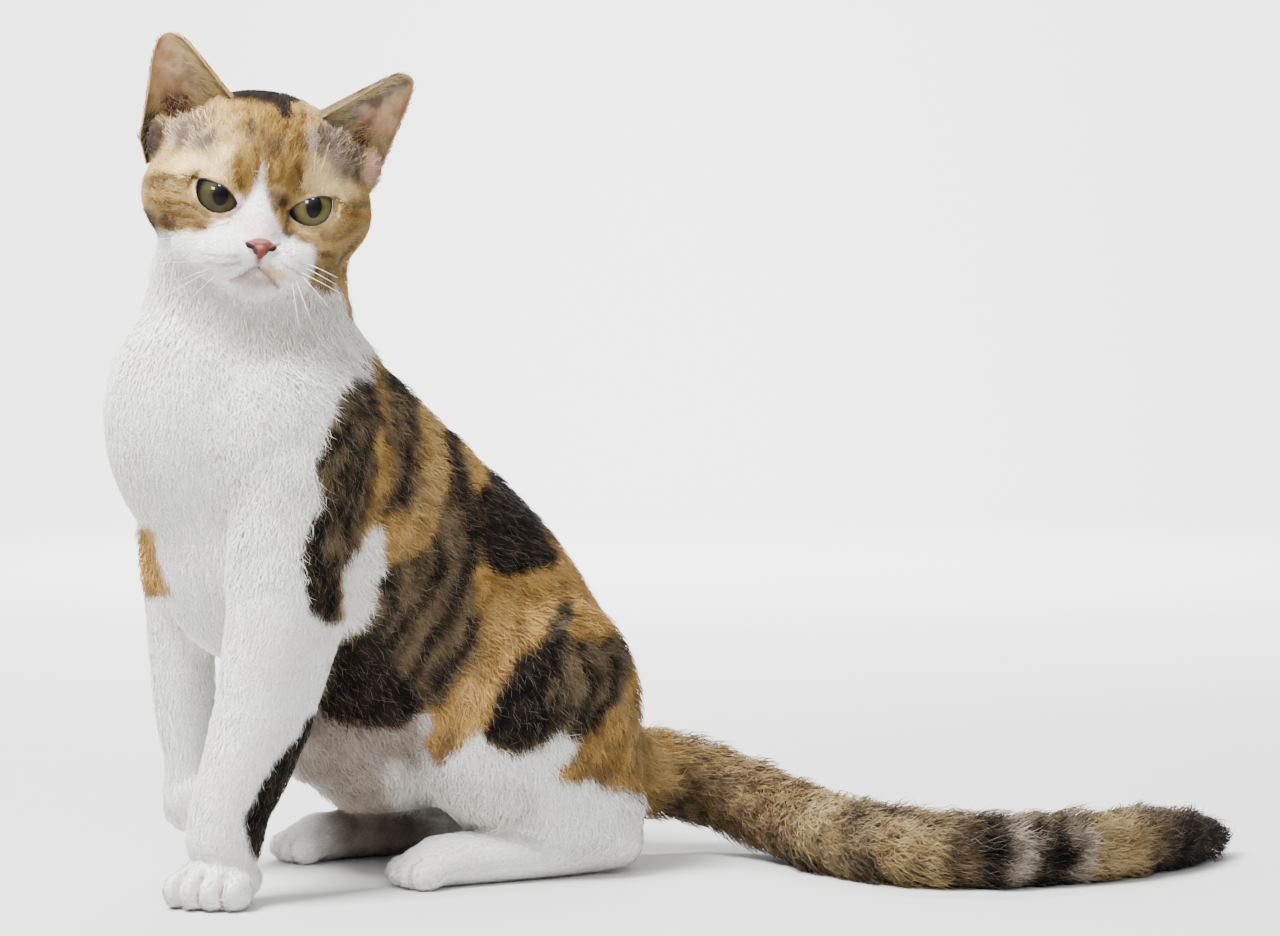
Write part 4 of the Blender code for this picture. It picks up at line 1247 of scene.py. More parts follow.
def paint_tail(colour, points, shade_value):
    """Bands around the tail, with a dark underside, flecks and a dark ridge."""
    stations = np.array(smooth_stations(TAIL, 12))
    line, radii = stations[:, :3], stations[:, 3:4]
    along = unit(np.gradient(line, axis=0))
    near_side = unit(BACK - along * (along @ BACK)[:, None])
    line_x = photo_pixels(line + near_side * radii * 0.8)[0]
    nearest = np.argmin(np.linalg.norm(points[:, None] - line[None], axis=2), axis=1)
    x = line_x[nearest] + 6 * noise(points, 1.1, 21) + 7 * noise(points, 0.4, 22)
    height = (points[:, 2] - line[nearest, 2]) / radii[nearest, 0]
    ticks = shade_value + 0.8 * noise(points, 0.25, 23)
    colour = paint(colour, "sand", smooth_step(590, 640, x), ticks)
    for low, high, name in TAIL_BANDS:
        inside = smooth_step(-7, 7, np.minimum(x - low, high - x))
        colour = paint(colour, name, inside, ticks)
    under = smooth_step(0.1, -0.7, height + 0.5 * noise(points, 0.8, 24))
    under = under * smooth_step(640, 700, x) * smooth_step(880, 780, x) * 0.8
    colour = paint(colour, "tabby", under, ticks)
    plain = smooth_step(690, 720, x) * smooth_step(975, 955, x)
    flecks = smooth_step(0.0, 0.7, noise(points, 0.55, 25)) * plain
    colour = paint(colour, "agouti", 0.75 * flecks, ticks)
    ridge = smooth_step(0.45, 0.85, height + 0.3 * noise(points, 0.6, 26))
    return paint(colour, "tabby", ridge * smooth_step(820, 880, x) * 0.8, ticks)


def paint_body(colour, x, y, rough, shade_value):
    """Patches, stripes, streaks and chest marks of the side that the photograph shows."""
    colour = paint_patches(colour, BODY_PATCHES, x, y, EDGE_SHIFT * rough, shade_value)
    for half, line in BODY_STRIPES:
        amount = line_amount(x, y, half, line, 1.5 * rough, 2.5, -1.5)
        coloured = colour.min(axis=1) < 0.5
        colour = paint(colour, "black", amount * 0.92 * coloured, shade_value)
    for half, line in BODY_STREAKS:
        amount = line_amount(x, y, half, line, 2.5 * rough, 4.0, -2.0)
        warm = (colour.max(axis=1) > 0.12) & (colour.min(axis=1) < 0.3)
        colour = paint(colour, "brown", 0.45 * amount * warm, shade_value)
    for half, line in CHEST_MARKS:
        amount = line_amount(x, y, half, line, rough, 2.0, -1.0)
        colour = paint(colour, "fuzz", 0.4 * amount, shade_value)
    return colour


def paint_head(colour, points, x, y, facing, edge, shade_value, nape):
    """The head as the photograph shows it, a guessed back of it, and the lips."""
    front = paint_patches(colour, HEAD_PATCHES, x, y, edge, shade_value)
    for name, half, line in HEAD_STRIPES:
        amount = line_amount(x, y, half, line, 0.35 * edge, 1.8, -1.0)
        front = paint(front, name, 0.9 * amount, shade_value)
    q = in_head_axes(points)
    back = tone("ginger", shade_value)
    back = paint(back, "agouti", smooth_step(0.1, 0.5, noise(points, 2.2, 31)), shade_value)
    back = paint(back, "black", smooth_step(0.35, 0.6, noise(points, 2.6, 32)), shade_value)
    ragged = 0.7 * noise(points, 0.9, 35)
    low = smooth_step(-1.8, -2.6, q[:, 2] + 0.5 * q[:, 1] * (q[:, 1] > 0) + ragged)
    back = paint(back, "white", low * smooth_step(1.4, 0.2, q[:, 1]), noise(points, 1.4, 3))
    back = np.where(nape[:, None], colour, back)
    beyond = smooth_step(-0.05, -0.3, facing + 0.15 * noise(points, 1.2, 34))
    colour = mix(front, back, beyond[:, None])
    lips = smooth_step(0.2, 0.0, from_mouth(q)) * (q[:, 1] < -2.0) * 0.75
    return paint(colour, "lip_and_groove_shade", lips, noise(points, 0.2, 33))


def coat_colour(points, normals):
    """The coat's colour at points of the skin, in the cat's axes."""
    _, parts, _ = read_bones(points)
    part = {name: parts == k for k, name in enumerate(PARTS)}
    height = points[:, 2]
    x, y = photo_pixels(points)
    facing = normals @ BACK
    rough = noise(points, 0.9, 1) + 0.6 * noise(points, 0.35, 2)
    shade_value = streaks(points)
    colour = tone("white", noise(points, 1.4, 3))
    edge = EDGE_SHIFT * rough

    def add_patch(some, patch, warp):
        colour[some] = paint_patches(colour[some], [patch], x[some], y[some], warp[some],
                                     shade_value[some])

    # Painted shade on the far hind foot, where it lies under the body
    add_patch(part["hindfoot"] & (points[:, 0] < 0), BELLY_SHADE, edge)
    arms = part["foreleg_left"] & (height > ELBOW_Z)
    near = (part["trunk"] | arms) & (facing > -0.75)
    colour[near] = paint_body(colour[near], x[near], y[near], rough[near], shade_value[near])

    far = (part["trunk"] | part["foreleg_right"]) & (height > 2)
    ragged = 0.22 * noise(points[far], 2.4, 41) + 0.08 * rough[far]
    beyond = smooth_step(-0.45, -0.62, facing[far] + ragged)
    far_colour = paint_patches(tone("white", noise(points[far], 1.4, 3)), FAR_PATCHES,
                               points[far, 1], height[far], 0.22 * rough[far],
                               shade_value[far])
    colour[far] = mix(colour[far], far_colour, beyond[:, None])

    breast = part["trunk"] & (x < BREAST_X) & (points[:, 0] < 0.3)
    add_patch(part["foreleg_right"] | breast, RIGHT_ARM_PATCH, 0.6 * edge)
    add_patch(part["foreleg_left"] & (height < ELBOW_Z), FOREARM_PATCH, 0.6 * edge)

    tail = part["tail"]
    colour[tail] = paint_tail(colour[tail], points[tail], shade_value[tail])

    # Painted shade in the grooves between the toes, wider on the hind feet
    hind = part["hindfoot"] * 0.25
    grooves = smooth_step(0.55 - hind, 0.95 - hind, toe_creases(points)[0])
    colour = paint(colour, "lip_and_groove_shade", 0.8 * grooves, noise(points, 0.3, 51))
    head = part["head"] | (part["trunk"] & (height > NAPE_Z))
    colour[head] = paint_head(colour[head], points[head], x[head], y[head], facing[head],
                              0.55 * edge[head], shade_value[head], part["trunk"][head])
    return colour


class Shading:
    """A new material and its nodes while they are put together."""

    def __init__(self, name, values):
        self.material = bpy.data.materials.new(name)
        self.material.use_nodes = True
        self.tree = self.material.node_tree
        self.shader = self.tree.nodes["Principled BSDF"]
        self.fill(self.shader, values)

    def fill(self, node, values):
        """Gives sockets their constant values, or links them to the outputs given for them."""
        for name, value in values.items():
            if isinstance(value, bpy.types.NodeSocket):
                self.tree.links.new(value, node.inputs[name])
            else:
                node.inputs[name].default_value = value

    def add(self, kind, values, **settings):
        node = self.tree.nodes.new("ShaderNode" + kind)
        for name, value in settings.items():
            setattr(node, name, value)
        self.fill(node, values)
        return node

    def calculate(self, operation, *values):
        return self.add("Math", dict(enumerate(values)), operation=operation).outputs[0]

    def length(self, x, y):
        squares = (self.calculate("MULTIPLY", value, value) for value in (x, y))
        return self.calculate("SQRT", self.calculate("ADD", *squares))

    def mix_colours(self, blend_type, factor, a, b):
        node = self.add("Mix", {"Factor": factor, "A": a, "B": b}, data_type="RGBA",
                        blend_type=blend_type)
        return node.outputs["Result"]

    def grain(self, scale, detail):
        """Fine noise that is fixed to the object."""
        where = self.add("TexCoord", {}).outputs["Object"]
        values = {"Vector": where, "Scale": scale, "Detail": detail}
        return self.add("TexNoise", values).outputs["Fac"]

    def ramp(self, value, stops):
        node = self.add("ValToRGB", {"Fac": value})
        elements = node.color_ramp.elements
        while len(elements) < len(stops):
            elements.new(0.5)
        for element, (position, rgb) in zip(elements, stops):
            element.position = position
            element.color = (*linear(rgb), 1)
        return node.outputs["Color"]

    def finish(self, colour, height, strength, distance):
        """Links the colour and a relief of some strength and depth in metres."""
        values = {"Strength": strength, "Distance": distance, "Height": height}
        normal = self.add("Bump", values).outputs["Normal"]
        self.fill(self.shader, {"Base Color": colour, "Normal": normal})
        return self.material


def painted_material(name, finish, grain, detail, tones, bump, depth):
    """Colour from the markings painted on the points, varied finely, with a fine relief."""
    shading = Shading(name, finish)
    marks = shading.add("Attribute", {}, attribute_name="coat").outputs["Color"]
    fine = shading.grain(grain, detail)
    spread = shading.add("MapRange", {"Value": fine, "From Min": 0.3, "From Max": 0.7,
                                      "To Min": tones[0], "To Max": tones[1]})
    colour = shading.mix_colours("MULTIPLY", 1, marks, spread.outputs["Result"])
    return shading.finish(colour, fine, bump, depth)


def fur_material(name, grain, bump):
    finish = {"Roughness": 0.75, "Specular IOR Level": 0.04, "Sheen Weight": 0.02}
    return painted_material(name, finish, grain, 3, (0.84, 1.12), bump, 0.0006)


def painted_skin_material(name, roughness, grain, bump):
    finish = {"Roughness": roughness, "Specular IOR Level": 0.15, "Subsurface Weight": 0.06,
              "Subsurface Scale": 0.002}
    return painted_material(name, finish, grain, 4, (0.86, 1.1), bump, 0.0003)


def skin_material(name, light, dark, roughness, grain):
    """Bare skin or horn with small bumps and uneven colour."""
    shading = Shading(name, {"Roughness": roughness, "Specular IOR Level": 0.4,
                             "Subsurface Weight": 0.08, "Subsurface Scale": 0.002})
    blotch = shading.grain(grain, 4)
    colour = shading.ramp(blotch, [(0.35, dark), (0.65, light)])
    return shading.finish(colour, blotch, 0.35, 0.0003)


def eye_material():
    """Iris with fibres round an upright pupil, darkened by painted shade, under a wet clear coat.
    """
    shading = Shading("eye_wet", {"Roughness": 0.5, "Specular IOR Level": 0.05,
                                  "Coat Weight": 0.3, "Coat Roughness": 0.03, "Coat IOR": 1.33})
    spot = shading.add("Attribute", {}, attribute_name="spot").outputs["Vector"]
    x, y, shade = shading.add("SeparateXYZ", {"Vector": spot}).outputs
    pupil = shading.length(shading.calculate("DIVIDE", x, PUPIL_HALF_WIDTH),
                           shading.calculate("DIVIDE", y, PUPIL_HALF_HEIGHT))
    radius = shading.calculate("DIVIDE", shading.length(x, y), IRIS_RADIUS)
    turn = shading.calculate("ARCTAN2", y, x)
    ray = shading.add("CombineXYZ", {"X": shading.calculate("MULTIPLY", turn, 9.0),
                                     "Y": shading.calculate("MULTIPLY", radius, 1.6)})
    fibres = shading.add("TexNoise", {"Vector": ray.outputs["Vector"], "Scale": 2.2, "Detail": 4})
    uneven = shading.calculate("SUBTRACT", fibres.outputs["Fac"], 0.5)
    shifted = shading.calculate("ADD", radius, shading.calculate("MULTIPLY", uneven, 0.22))
    iris = shading.ramp(shifted, IRIS_RAMP)
    streaky = shading.mix_colours("OVERLAY", 0.35, iris, fibres.outputs["Color"])
    opening = shading.add("MapRange", {"Value": pupil, "From Min": 0.92, "From Max": 1.06},
                          interpolation_type="SMOOTHSTEP").outputs["Result"]
    seen = shading.mix_colours("MIX", opening, (*linear(PUPIL_RGB), 1), streaky)
    shaded = shading.mix_colours("MULTIPLY", 1, seen, shade)
    shading.fill(shading.shader, {"Base Color": shaded})
    return shading.material


def set_colours(mesh, colours):
    layer = mesh.color_attributes.new("coat", "FLOAT_COLOR", "POINT")
    rgba = np.ones((len(colours), 4), np.float32)
    rgba[:, :3] = colours
    layer.data.foreach_set("color", rgba.ravel())


def triangles_of(mesh):
    mesh.calc_loop_triangles()
    values = np.empty(len(mesh.loop_triangles) * 3, np.int32)
    mesh.loop_triangles.foreach_get("vertices", values)
    return values.reshape(-1, 3)


def scatter(points, corners, density):
    """Roots spread evenly over triangles, with so many to a square centimetre at each corner."""
    a, b, c = (points[corners[:, k]] for k in range(3))
    area = np.linalg.norm(np.cross(b - a, c - a), axis=1) / 2
    share = np.cumsum(area * density[corners].mean(axis=1))
    count = int(share[-1])
    pick = np.searchsorted(share, (np.arange(count) + RANDOM.random(count)) * share[-1] / count)
    pick = np.minimum(pick, len(corners) - 1)
    u, v = RANDOM.random(count), RANDOM.random(count)
    over = u + v > 1
    u[over], v[over] = 1 - u[over], 1 - v[over]
    return pick, np.stack([1 - u - v, u, v], axis=1)


def at_roots(values, corners, pick, weights):
    return np.einsum("nk,nkd->nd", weights, values[corners[pick]])


def unit(vectors):
    return vectors / (np.linalg.norm(vectors, axis=1, keepdims=True) + 1e-9)


def part_round_eyes(points, flow):
    """Turns the lie of the coat away from the eyes, so that no hair crosses them."""
    for eye in from_head_axes([eye_centre(side) for side in SIDES]):
        away = points - eye
        strength = smooth_step(2.0, 1.2, np.linalg.norm(away, axis=1))
        flow = flow + unit(away) * (2.2 * strength)[:, None]
    return flow


def free_of_features(points):
    """Which roots lie off the eyes, the leather of the nose and the lips."""
    q = in_head_axes(points)
    ok = np.ones(len(points), bool)
    for side in SIDES:
        u, w = side * q[:, 0] - EYE_X, q[:, 2] - EYE_Z
        near = (q[:, 1] < EYE_Y + 0.6) & (np.hypot(u, w) < 1.6)
        ok &= ~(near & (inside_distance(u, w, LID_CURVE) > -0.09))
    leather = np.abs(q[:, 0]) < 0.66 + 0.45 * (q[:, 2] + 2.2)
    leather &= (q[:, 1] < -3.6) & (q[:, 2] < -1.8) & (q[:, 2] > -2.72)
    lips = (from_mouth(q) < 0.1) & (q[:, 1] < -2.0) & (q[:, 2] < -2.6)
    return ok & ~leather & ~lips


def make_tufts(roots, normals, flow, length, width, lift, colour):
    """Closed, tapered and bent tufts: two rings of three points and a tip, with their colours."""
    count = len(roots)
    flow = unit(flow - normals * np.sum(flow * normals, axis=1, keepdims=True))
    side = np.cross(normals, flow)
    turn = RANDOM.normal(0, 0.24, count)[:, None]
    flow = flow * np.cos(turn) + side * np.sin(turn)
    side = np.cross(normals, flow)
    length = (length * RANDOM.uniform(0.7, 1.2, count))[:, None]
    width = (width * RANDOM.uniform(0.7, 1.25, count))[:, None]
    lift = (lift * RANDOM.uniform(0.5, 1.35, count))[:, None]
    kink = RANDOM.normal(0, 0.11, count)[:, None] * length
    hook = RANDOM.normal(0, 0.2, count)[:, None] * length
    middle = roots + flow * length * 0.5 + normals * lift * 0.75 + side * kink
    tip = roots + flow * length * 0.97 + normals * lift + side * (hook - kink)
    foot = roots - normals * 0.04
    thick = width * 0.45
    points = np.stack([
        foot - side * width * 0.4, foot + side * width * 0.4, foot + normals * thick,
        middle - side * width * 0.45, middle + side * width * 0.45, middle + normals * thick,
        tip,
    ], axis=1)
    points[:, :, 2] = np.maximum(points[:, :, 2], 0.02)
    white = smooth_step(0.5, 0.8, colour[:, 1].min(axis=1))[:, None]
    round_side = side * (0.4 - 0.25 * white)
    soft = np.stack([
        unit(normals - round_side), unit(normals + round_side), normals,
        unit(normals - round_side + flow * 0.1), unit(normals + round_side + flow * 0.1),
        unit(normals + flow * 0.1), unit(normals + flow * 0.2),
    ], axis=1)
    # Painted shade at the roots of the tufts and painted light at their tips, weaker on white fur
    gain = mix(np.array([TUFT_PAINTED_SHADING]), 1.0, 0.55 * white)
    colours = np.clip(colour[:, TUFT_STATIONS] * gain[:, :, None], 0, 0.95)
    return points, soft, colours


def mesh_of_triangles(name, points, faces):
    mesh = bpy.data.meshes.new(name)
    mesh.vertices.add(len(points))
    mesh.vertices.foreach_set("co", points.astype(np.float32).ravel())
    mesh.loops.add(len(faces) * 3)
    mesh.loops.foreach_set("vertex_index", faces.astype(np.int32).ravel())
    mesh.polygons.add(len(faces))
    mesh.polygons.foreach_set("loop_start", np.arange(0, len(faces) * 3, 3, dtype=np.int32))
    mesh.update(calc_edges=True)
    mesh.validate()
    return mesh


def declare(piece, slot, *nodes):
    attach(piece, "root")
    if nodes:
        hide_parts(*nodes)


def coat_piece(name, slot, material, tufts, roots_uv):
    """One object of many tufts, with its colours, soft normals and bake map."""
    points, soft, colours = tufts
    count, corners = points.shape[:2]
    faces = (TUFT_FACES[None] + corners * np.arange(count)[:, None, None]).reshape(-1, 3)
    mesh = mesh_of_triangles(name, points.reshape(-1, 3), faces)
    set_colours(mesh, colours.reshape(-1, 3))
    uv = (roots_uv[:, None] + TUFT_UV[None]).reshape(-1, 2)
    layer = mesh.uv_layers.new(name="OFBake")
    layer.data.foreach_set("uv", uv[faces.ravel()].astype(np.float32).ravel())
    mesh.shade_smooth()
    mesh.normals_split_custom_set_from_vertices(soft.reshape(-1, 3))
    mesh.materials.append(material)
    declare(place(new_object(name, mesh)), slot)


def coarse_copy(skin, target=9000):
    """A thinned copy of the skin, as points and triangles, that the tufts' maps are made on."""
    copy = new_object("coarse", skin.data.copy())
    thin = copy.modifiers.new("thin", "DECIMATE")
    copy.data.calc_loop_triangles()
    thin.ratio = target / max(len(copy.data.loop_triangles), 1)
    thin.use_collapse_triangulate = True
    apply_modifiers(copy)
    points, faces = vertex_array(copy.data), triangles_of(copy.data)
    bpy.data.objects.remove(copy)
    return points, faces


def unwrap(points, faces):
    """Corners of each triangle on an unwrap of the shape that they form."""
    used, inverse = np.unique(faces, return_inverse=True)
    mesh = mesh_of_triangles("unwrap", points[used], inverse.reshape(-1, 3))
    piece = new_object("unwrap", mesh)
    bpy.context.view_layer.objects.active = piece
    piece.select_set(True)
    bpy.ops.object.mode_set(mode="EDIT")
    bpy.ops.mesh.select_all(action="SELECT")
    bpy.ops.uv.smart_project(angle_limit=math.radians(66), island_margin=0.004)
    bpy.ops.object.mode_set(mode="OBJECT")
    values = np.empty(len(mesh.loops) * 2, np.float32)
    mesh.uv_layers.active.data.foreach_get("uv", values)
    bpy.data.objects.remove(piece)
    return values.reshape(-1, 3, 2)


def weights_in(triangle, points):
    """Weights of a triangle's corners at points on it."""
    a, b, c = triangle[:, 0], triangle[:, 1], triangle[:, 2]
    ab, ac, ap = b - a, c - a, points - a
    d00, d01, d11 = (np.sum(p * q, axis=1) for p, q in ((ab, ab), (ab, ac), (ac, ac)))
    d20, d21 = np.sum(ap * ab, axis=1), np.sum(ap * ac, axis=1)
    scale = d00 * d11 - d01 * d01 + 1e-12
    v, w = (d11 * d20 - d01 * d21) / scale, (d00 * d21 - d01 * d20) / scale
    weights = np.clip(np.stack([1 - v - w, v, w], axis=1), 0, 1)
    return weights / weights.sum(axis=1, keepdims=True)


def map_roots(coarse, roots):
    """Places of roots on an unwrap of the part of the skin that they grow from."""
    points, faces = coarse
    tree = BVHTree.FromPolygons(points.tolist(), faces.tolist())
    nearest = np.array([tree.find_nearest(root)[2] for root in roots.tolist()])
    used, inverse = np.unique(nearest, return_inverse=True)
    corners = unwrap(points, faces[used])
    weights = weights_in(points[faces[nearest]], roots)
    return np.einsum("nk,nkd->nd", weights, corners[inverse])


def coat_labels(points, kinds, parts):
    """Which piece of the coat each root belongs to."""
    def halves(name, sideways):
        return np.where(sideways > 0, name + "_left", name + "_right").astype(object)

    x, y, z = points.T
    names = np.where(z > BACK_Z, halves("coat_back", x), halves("coat_haunch", x))
    names = np.where(y < CHEST_Y, halves("coat_chest", x), names)
    for part, name in (("foreleg_left", "coat_foreleg_left"),
                       ("foreleg_right", "coat_foreleg_right"),
                       ("hindfoot", "coat_feet"), ("tail", "coat_tail")):
        names[parts == PARTS.index(part)] = name
    head = parts == PARTS.index("head")
    names = np.where(head, halves("coat_head", in_head_axes(points)[:, 0]), names)
    names[head & (kinds[:, KINDS.index("face")] > 0.5)] = "coat_face"
    return names


def ear_fuzz(points):
    """How far the coat turns into the longer curled hair in front of the ears, from 0 to 1."""
    near = np.linalg.norm((in_half_head(points) - EAR_FUZZ) / EAR_FUZZ_RADII, axis=1)
    return smooth_step(1.0, 0.6, near + 0.2 * noise(points, 0.5, 61))


def station_colours(roots, normals, flow, length, fuzz, parts):
    """Colours of each tuft at its three stations, with single hairs of other colours."""
    chance = RANDOM.random(len(roots))
    shade_value = RANDOM.normal(0, 0.6, len(roots))
    stations = []
    for share in STATIONS:
        colour = coat_colour(roots + flow * (share * length)[:, None], normals)
        pale = smooth_step(0.1, 0.3, colour.max(axis=1))
        for name, low, high in FUZZ_HAIRS:
            some = (chance >= low) & (chance < high)
            colour[some] = paint(colour[some], name, 0.8 * (fuzz * pale)[some],
                                 shade_value[some])
        stations.append(colour)
    # Grey tips in dark fur: partly grey hairs, partly painted glints of light on the crimped coat
    wisp = (RANDOM.random(len(roots)) < WISPS) & (stations[1].max(axis=1) < 0.2)
    wisp &= parts != PARTS.index("head")
    for colour, share in zip(stations[1:], WISP_GREY):
        colour[wisp] = mix(colour[wisp], tone("grey", shade_value[wisp]), share)
    return np.stack(stations, axis=1) * RANDOM.normal(1.0, 0.07, len(roots))[:, None, None]


def grow_coat(skin, material):
    """Covers the skin with tufts, divided into the pieces of the coat."""
    points, normals = vertex_array(skin.data), vertex_array(skin.data, "normal")
    corners = triangles_of(skin.data)
    kinds, _, flows = read_bones(points)
    pick, weights = scatter(points, corners, fur_value(kinds, "density"))
    roots = at_roots(points, corners, pick, weights)
    keep = free_of_features(roots) & (toe_creases(roots)[0] < 0.75)
    pick, weights, roots = pick[keep], weights[keep], roots[keep]
    root_normals = unit(at_roots(normals, corners, pick, weights))
    flow = part_round_eyes(roots, unit(at_roots(flows, corners, pick, weights)))
    kinds, parts, _ = read_bones(roots)
    length, width, lift = (fur_value(kinds, what) for what in ("length", "width", "lift"))
    fuzz = ear_fuzz(roots)
    colour = station_colours(roots, root_normals, flow, length, fuzz, parts)
    clump = 1 + fur_value(kinds, "clumping") * noise(roots, 0.7, 71)
    tufts = make_tufts(roots, root_normals, flow, length * (1 + 0.7 * fuzz) * (0.5 + 0.5 * clump),
                       width, lift * (1 + 2.6 * fuzz) * clump, colour)
    labels = coat_labels(roots, kinds, parts)
    coarse = coarse_copy(skin)
    for name, slot in COAT_SLOTS.items():
        some = np.flatnonzero(labels == name)
        coat_piece(name, slot, material, [t[some] for t in tufts], map_roots(coarse, roots[some]))


def on_ball(x, y, centre, radius):
    """Where the line of sight through a pixel meets a ball."""
    start, ray = pixel_ray(x, y)
    to = centre - start
    along = to @ ray
    miss = np.linalg.norm(to - ray * along)
    return start + ray * (along - math.sqrt(max(radius * radius - miss * miss, 0)))


def direction(vector):
    """A single vector at length one."""
    return unit(vector[None])[0]


def eyeball(side, material):
    """An eyeball with its iris and cornea turned to where the cat looks."""
    centre = from_head_axes([eye_centre(side)])[0]
    gaze = direction(on_ball(*PUPIL_PIXEL[side], centre, EYE_RADIUS) - centre)
    up = np.array(HEAD_MATRIX)[:3, 2]
    up = direction(up - gaze * (up @ gaze))
    across = np.cross(up, gaze)
    points, spots, faces = [], [], []
    for theta in np.radians(EYE_RINGS):
        flat = EYE_RADIUS * math.sin(theta)
        rise = CORNEA_RISE * float(smooth_step(CORNEA_RADIUS * 1.35, 0.2, flat)) * (theta < 1.5)
        height = EYE_RADIUS * math.cos(theta) + rise
        for k in range(EYE_SECTORS):
            angle = 2 * math.pi * k / EYE_SECTORS
            x, y = flat * math.cos(angle), flat * math.sin(angle)
            points.append(centre + across * x + up * y + gaze * height)
            # The third value is painted shade: darker under the upper lid, and darker in the cat's
            # right eye
            spots.append((x, y, EYE_SHADE[side] * mix(1, 0.45, smooth_step(0.2, 0.62, y))))
    front = len(points)
    last_ring = front - EYE_SECTORS
    points += [centre + gaze * (EYE_RADIUS + CORNEA_RISE), centre - gaze * EYE_RADIUS]
    spots += [(0, 0, 1), (0, 0, 1)]
    for k in range(EYE_SECTORS):
        n = (k + 1) % EYE_SECTORS
        faces.append((front, k, n))
        for ring in range(0, last_ring, EYE_SECTORS):
            a, b = ring + k, ring + n
            faces += [(a, a + EYE_SECTORS, b + EYE_SECTORS), (a, b + EYE_SECTORS, b)]
        faces.append((last_ring + k, front + 1, last_ring + n))
    mesh = mesh_of_triangles("eyeball_" + SIDES[side], np.array(points), np.array(faces))
    layer = mesh.attributes.new("spot", "FLOAT_VECTOR", "POINT")
    layer.data.foreach_set("vector", np.array(spots, np.float32).ravel())
    mesh.shade_smooth()
    mesh.materials.append(material)
    return place(new_object("eyeball_" + SIDES[side], mesh))


def tube(name, lines, sides, material):
    """Closed tubes along lines of points with a radius at each point."""
    points, faces = [], []
    for line, radii, closed in lines:
        line = np.asarray(line, float)
        count = len(line)
        along = np.roll(line, -1, axis=0) - np.roll(line, 1, axis=0)
        if not closed:
            along[0], along[-1] = line[1] - line[0], line[-1] - line[-2]
        along = unit(along)
        side = unit(np.cross(along, TUBE_HELPER))
        front = np.cross(along, side)
        start = len(points)
        for k in range(count):
            for n in range(sides):
                angle = 2 * math.pi * n / sides
                points.append(line[k] + radii[k] * (side[k] * math.cos(angle)
                                                    + front[k] * math.sin(angle)))
        for k in range(count if closed else count - 1):
            for n in range(sides):
                m = (n + 1) % sides
                a, b = start + k * sides, start + (k + 1) % count * sides
                faces += [(a + n, a + m, b + m), (a + n, b + m, b + n)]
        if not closed:
            points += [line[0], line[-1]]
            first, last = len(points) - 2, len(points) - 1
            end = start + (count - 1) * sides
            for n in range(sides):
                m = (n + 1) % sides
                faces += [(first, start + m, start + n), (last, end + n, end + m)]
    mesh = mesh_of_triangles(name, np.array(points), np.array(faces))
    mesh.shade_smooth()
    mesh.materials.append(material)
    return place(new_object(name, mesh))


def lid_rims(material):
    """The bare dark edges of the lids, thicker above and at the inner corners."""
    u, w = LID_CURVE[:, 0], LID_CURVE[:, 1]
    y = EYE_Y - np.sqrt(RIM_REACH * RIM_REACH - u * u - w * w)
    thick = 0.8 + 0.8 * smooth_step(-0.1, 0.4, w) + 0.5 * smooth_step(-0.6, -0.95, u)
    lines = []
    for side in SIDES:
        line = from_head_axes(np.stack([side * (EYE_X + u), y, EYE_Z + w], axis=1))
        lines.append((line, RIM_RADIUS * thick, True))
    return tube("lid_rims", lines, 8, material)


def scoop_ears(points, normals):
    """Hollows the skull in front of the ears, so that their openings reach down into it."""
    q = in_head_axes(points)
    for side in SIDES:
        away = np.stack([side * q[:, 0], q[:, 1], q[:, 2]], axis=1) - EAR_SCOOP
        near = np.linalg.norm(away / EAR_SCOOP_RADII, axis=1)
        press = EAR_SCOOP_DEPTH * smooth_step(1, 0.1, near)
        points = points - normals * press[:, None]
    return points


def ear_axes(side):
    """Root of an ear, and its directions upwards, outwards across the opening and backwards."""
    root = np.array((EAR_ROOT[side][0], 0.35, EAR_ROOT[side][1]))
    tip = np.array((EAR_TIP[side][0], 0.1, EAR_TIP[side][1]))
    up = direction(tip - root)
    wide = np.array((side * 0.69, 0, -0.725))
    wide = direction(wide - up * (wide @ up))
    back = np.cross(up, wide) * side
    turn = np.array(Matrix.Rotation(math.radians(side * EAR_TURN[side]), 3, Vector(up)))
    return root, up, turn @ wide, turn @ back


def ear_points(side, s, turn):
    """Points of an ear's middle sheet: s from its root to its tip, turn across it from -1 to 1."""
    root, up, wide, back = ear_axes(side)
    rise = np.maximum(s, 0)
    keep = np.maximum((1 - 0.95 * rise + 0.24 * rise ** 2)
                      * np.sqrt(np.maximum(1 - rise ** 8, 0)), 0.04)
    angle = np.radians(EAR_HALF_TURN * turn)
    sag = 0.06 * np.sin(7 * s + 2 * turn)
    high = EAR_HEIGHT[side] * s[:, None] * up
    across = EAR_HALF_WIDTH * keep * np.sin(angle)
    behind = EAR_CUP * keep * np.cos(angle) + sag * keep
    return root + high + across[:, None] * wide + behind[:, None] * back


def ear_frame(side, s, turn):
    """Points of the sheet with the directions away from the cup and along the ear."""
    step = 0.01
    points = ear_points(side, s, turn)
    along = unit(ear_points(side, s + step, turn) - ear_points(side, s - step, turn))
    across = ear_points(side, s, turn + step) - ear_points(side, s, turn - step)
    return points, -side * unit(np.cross(across, along)), along


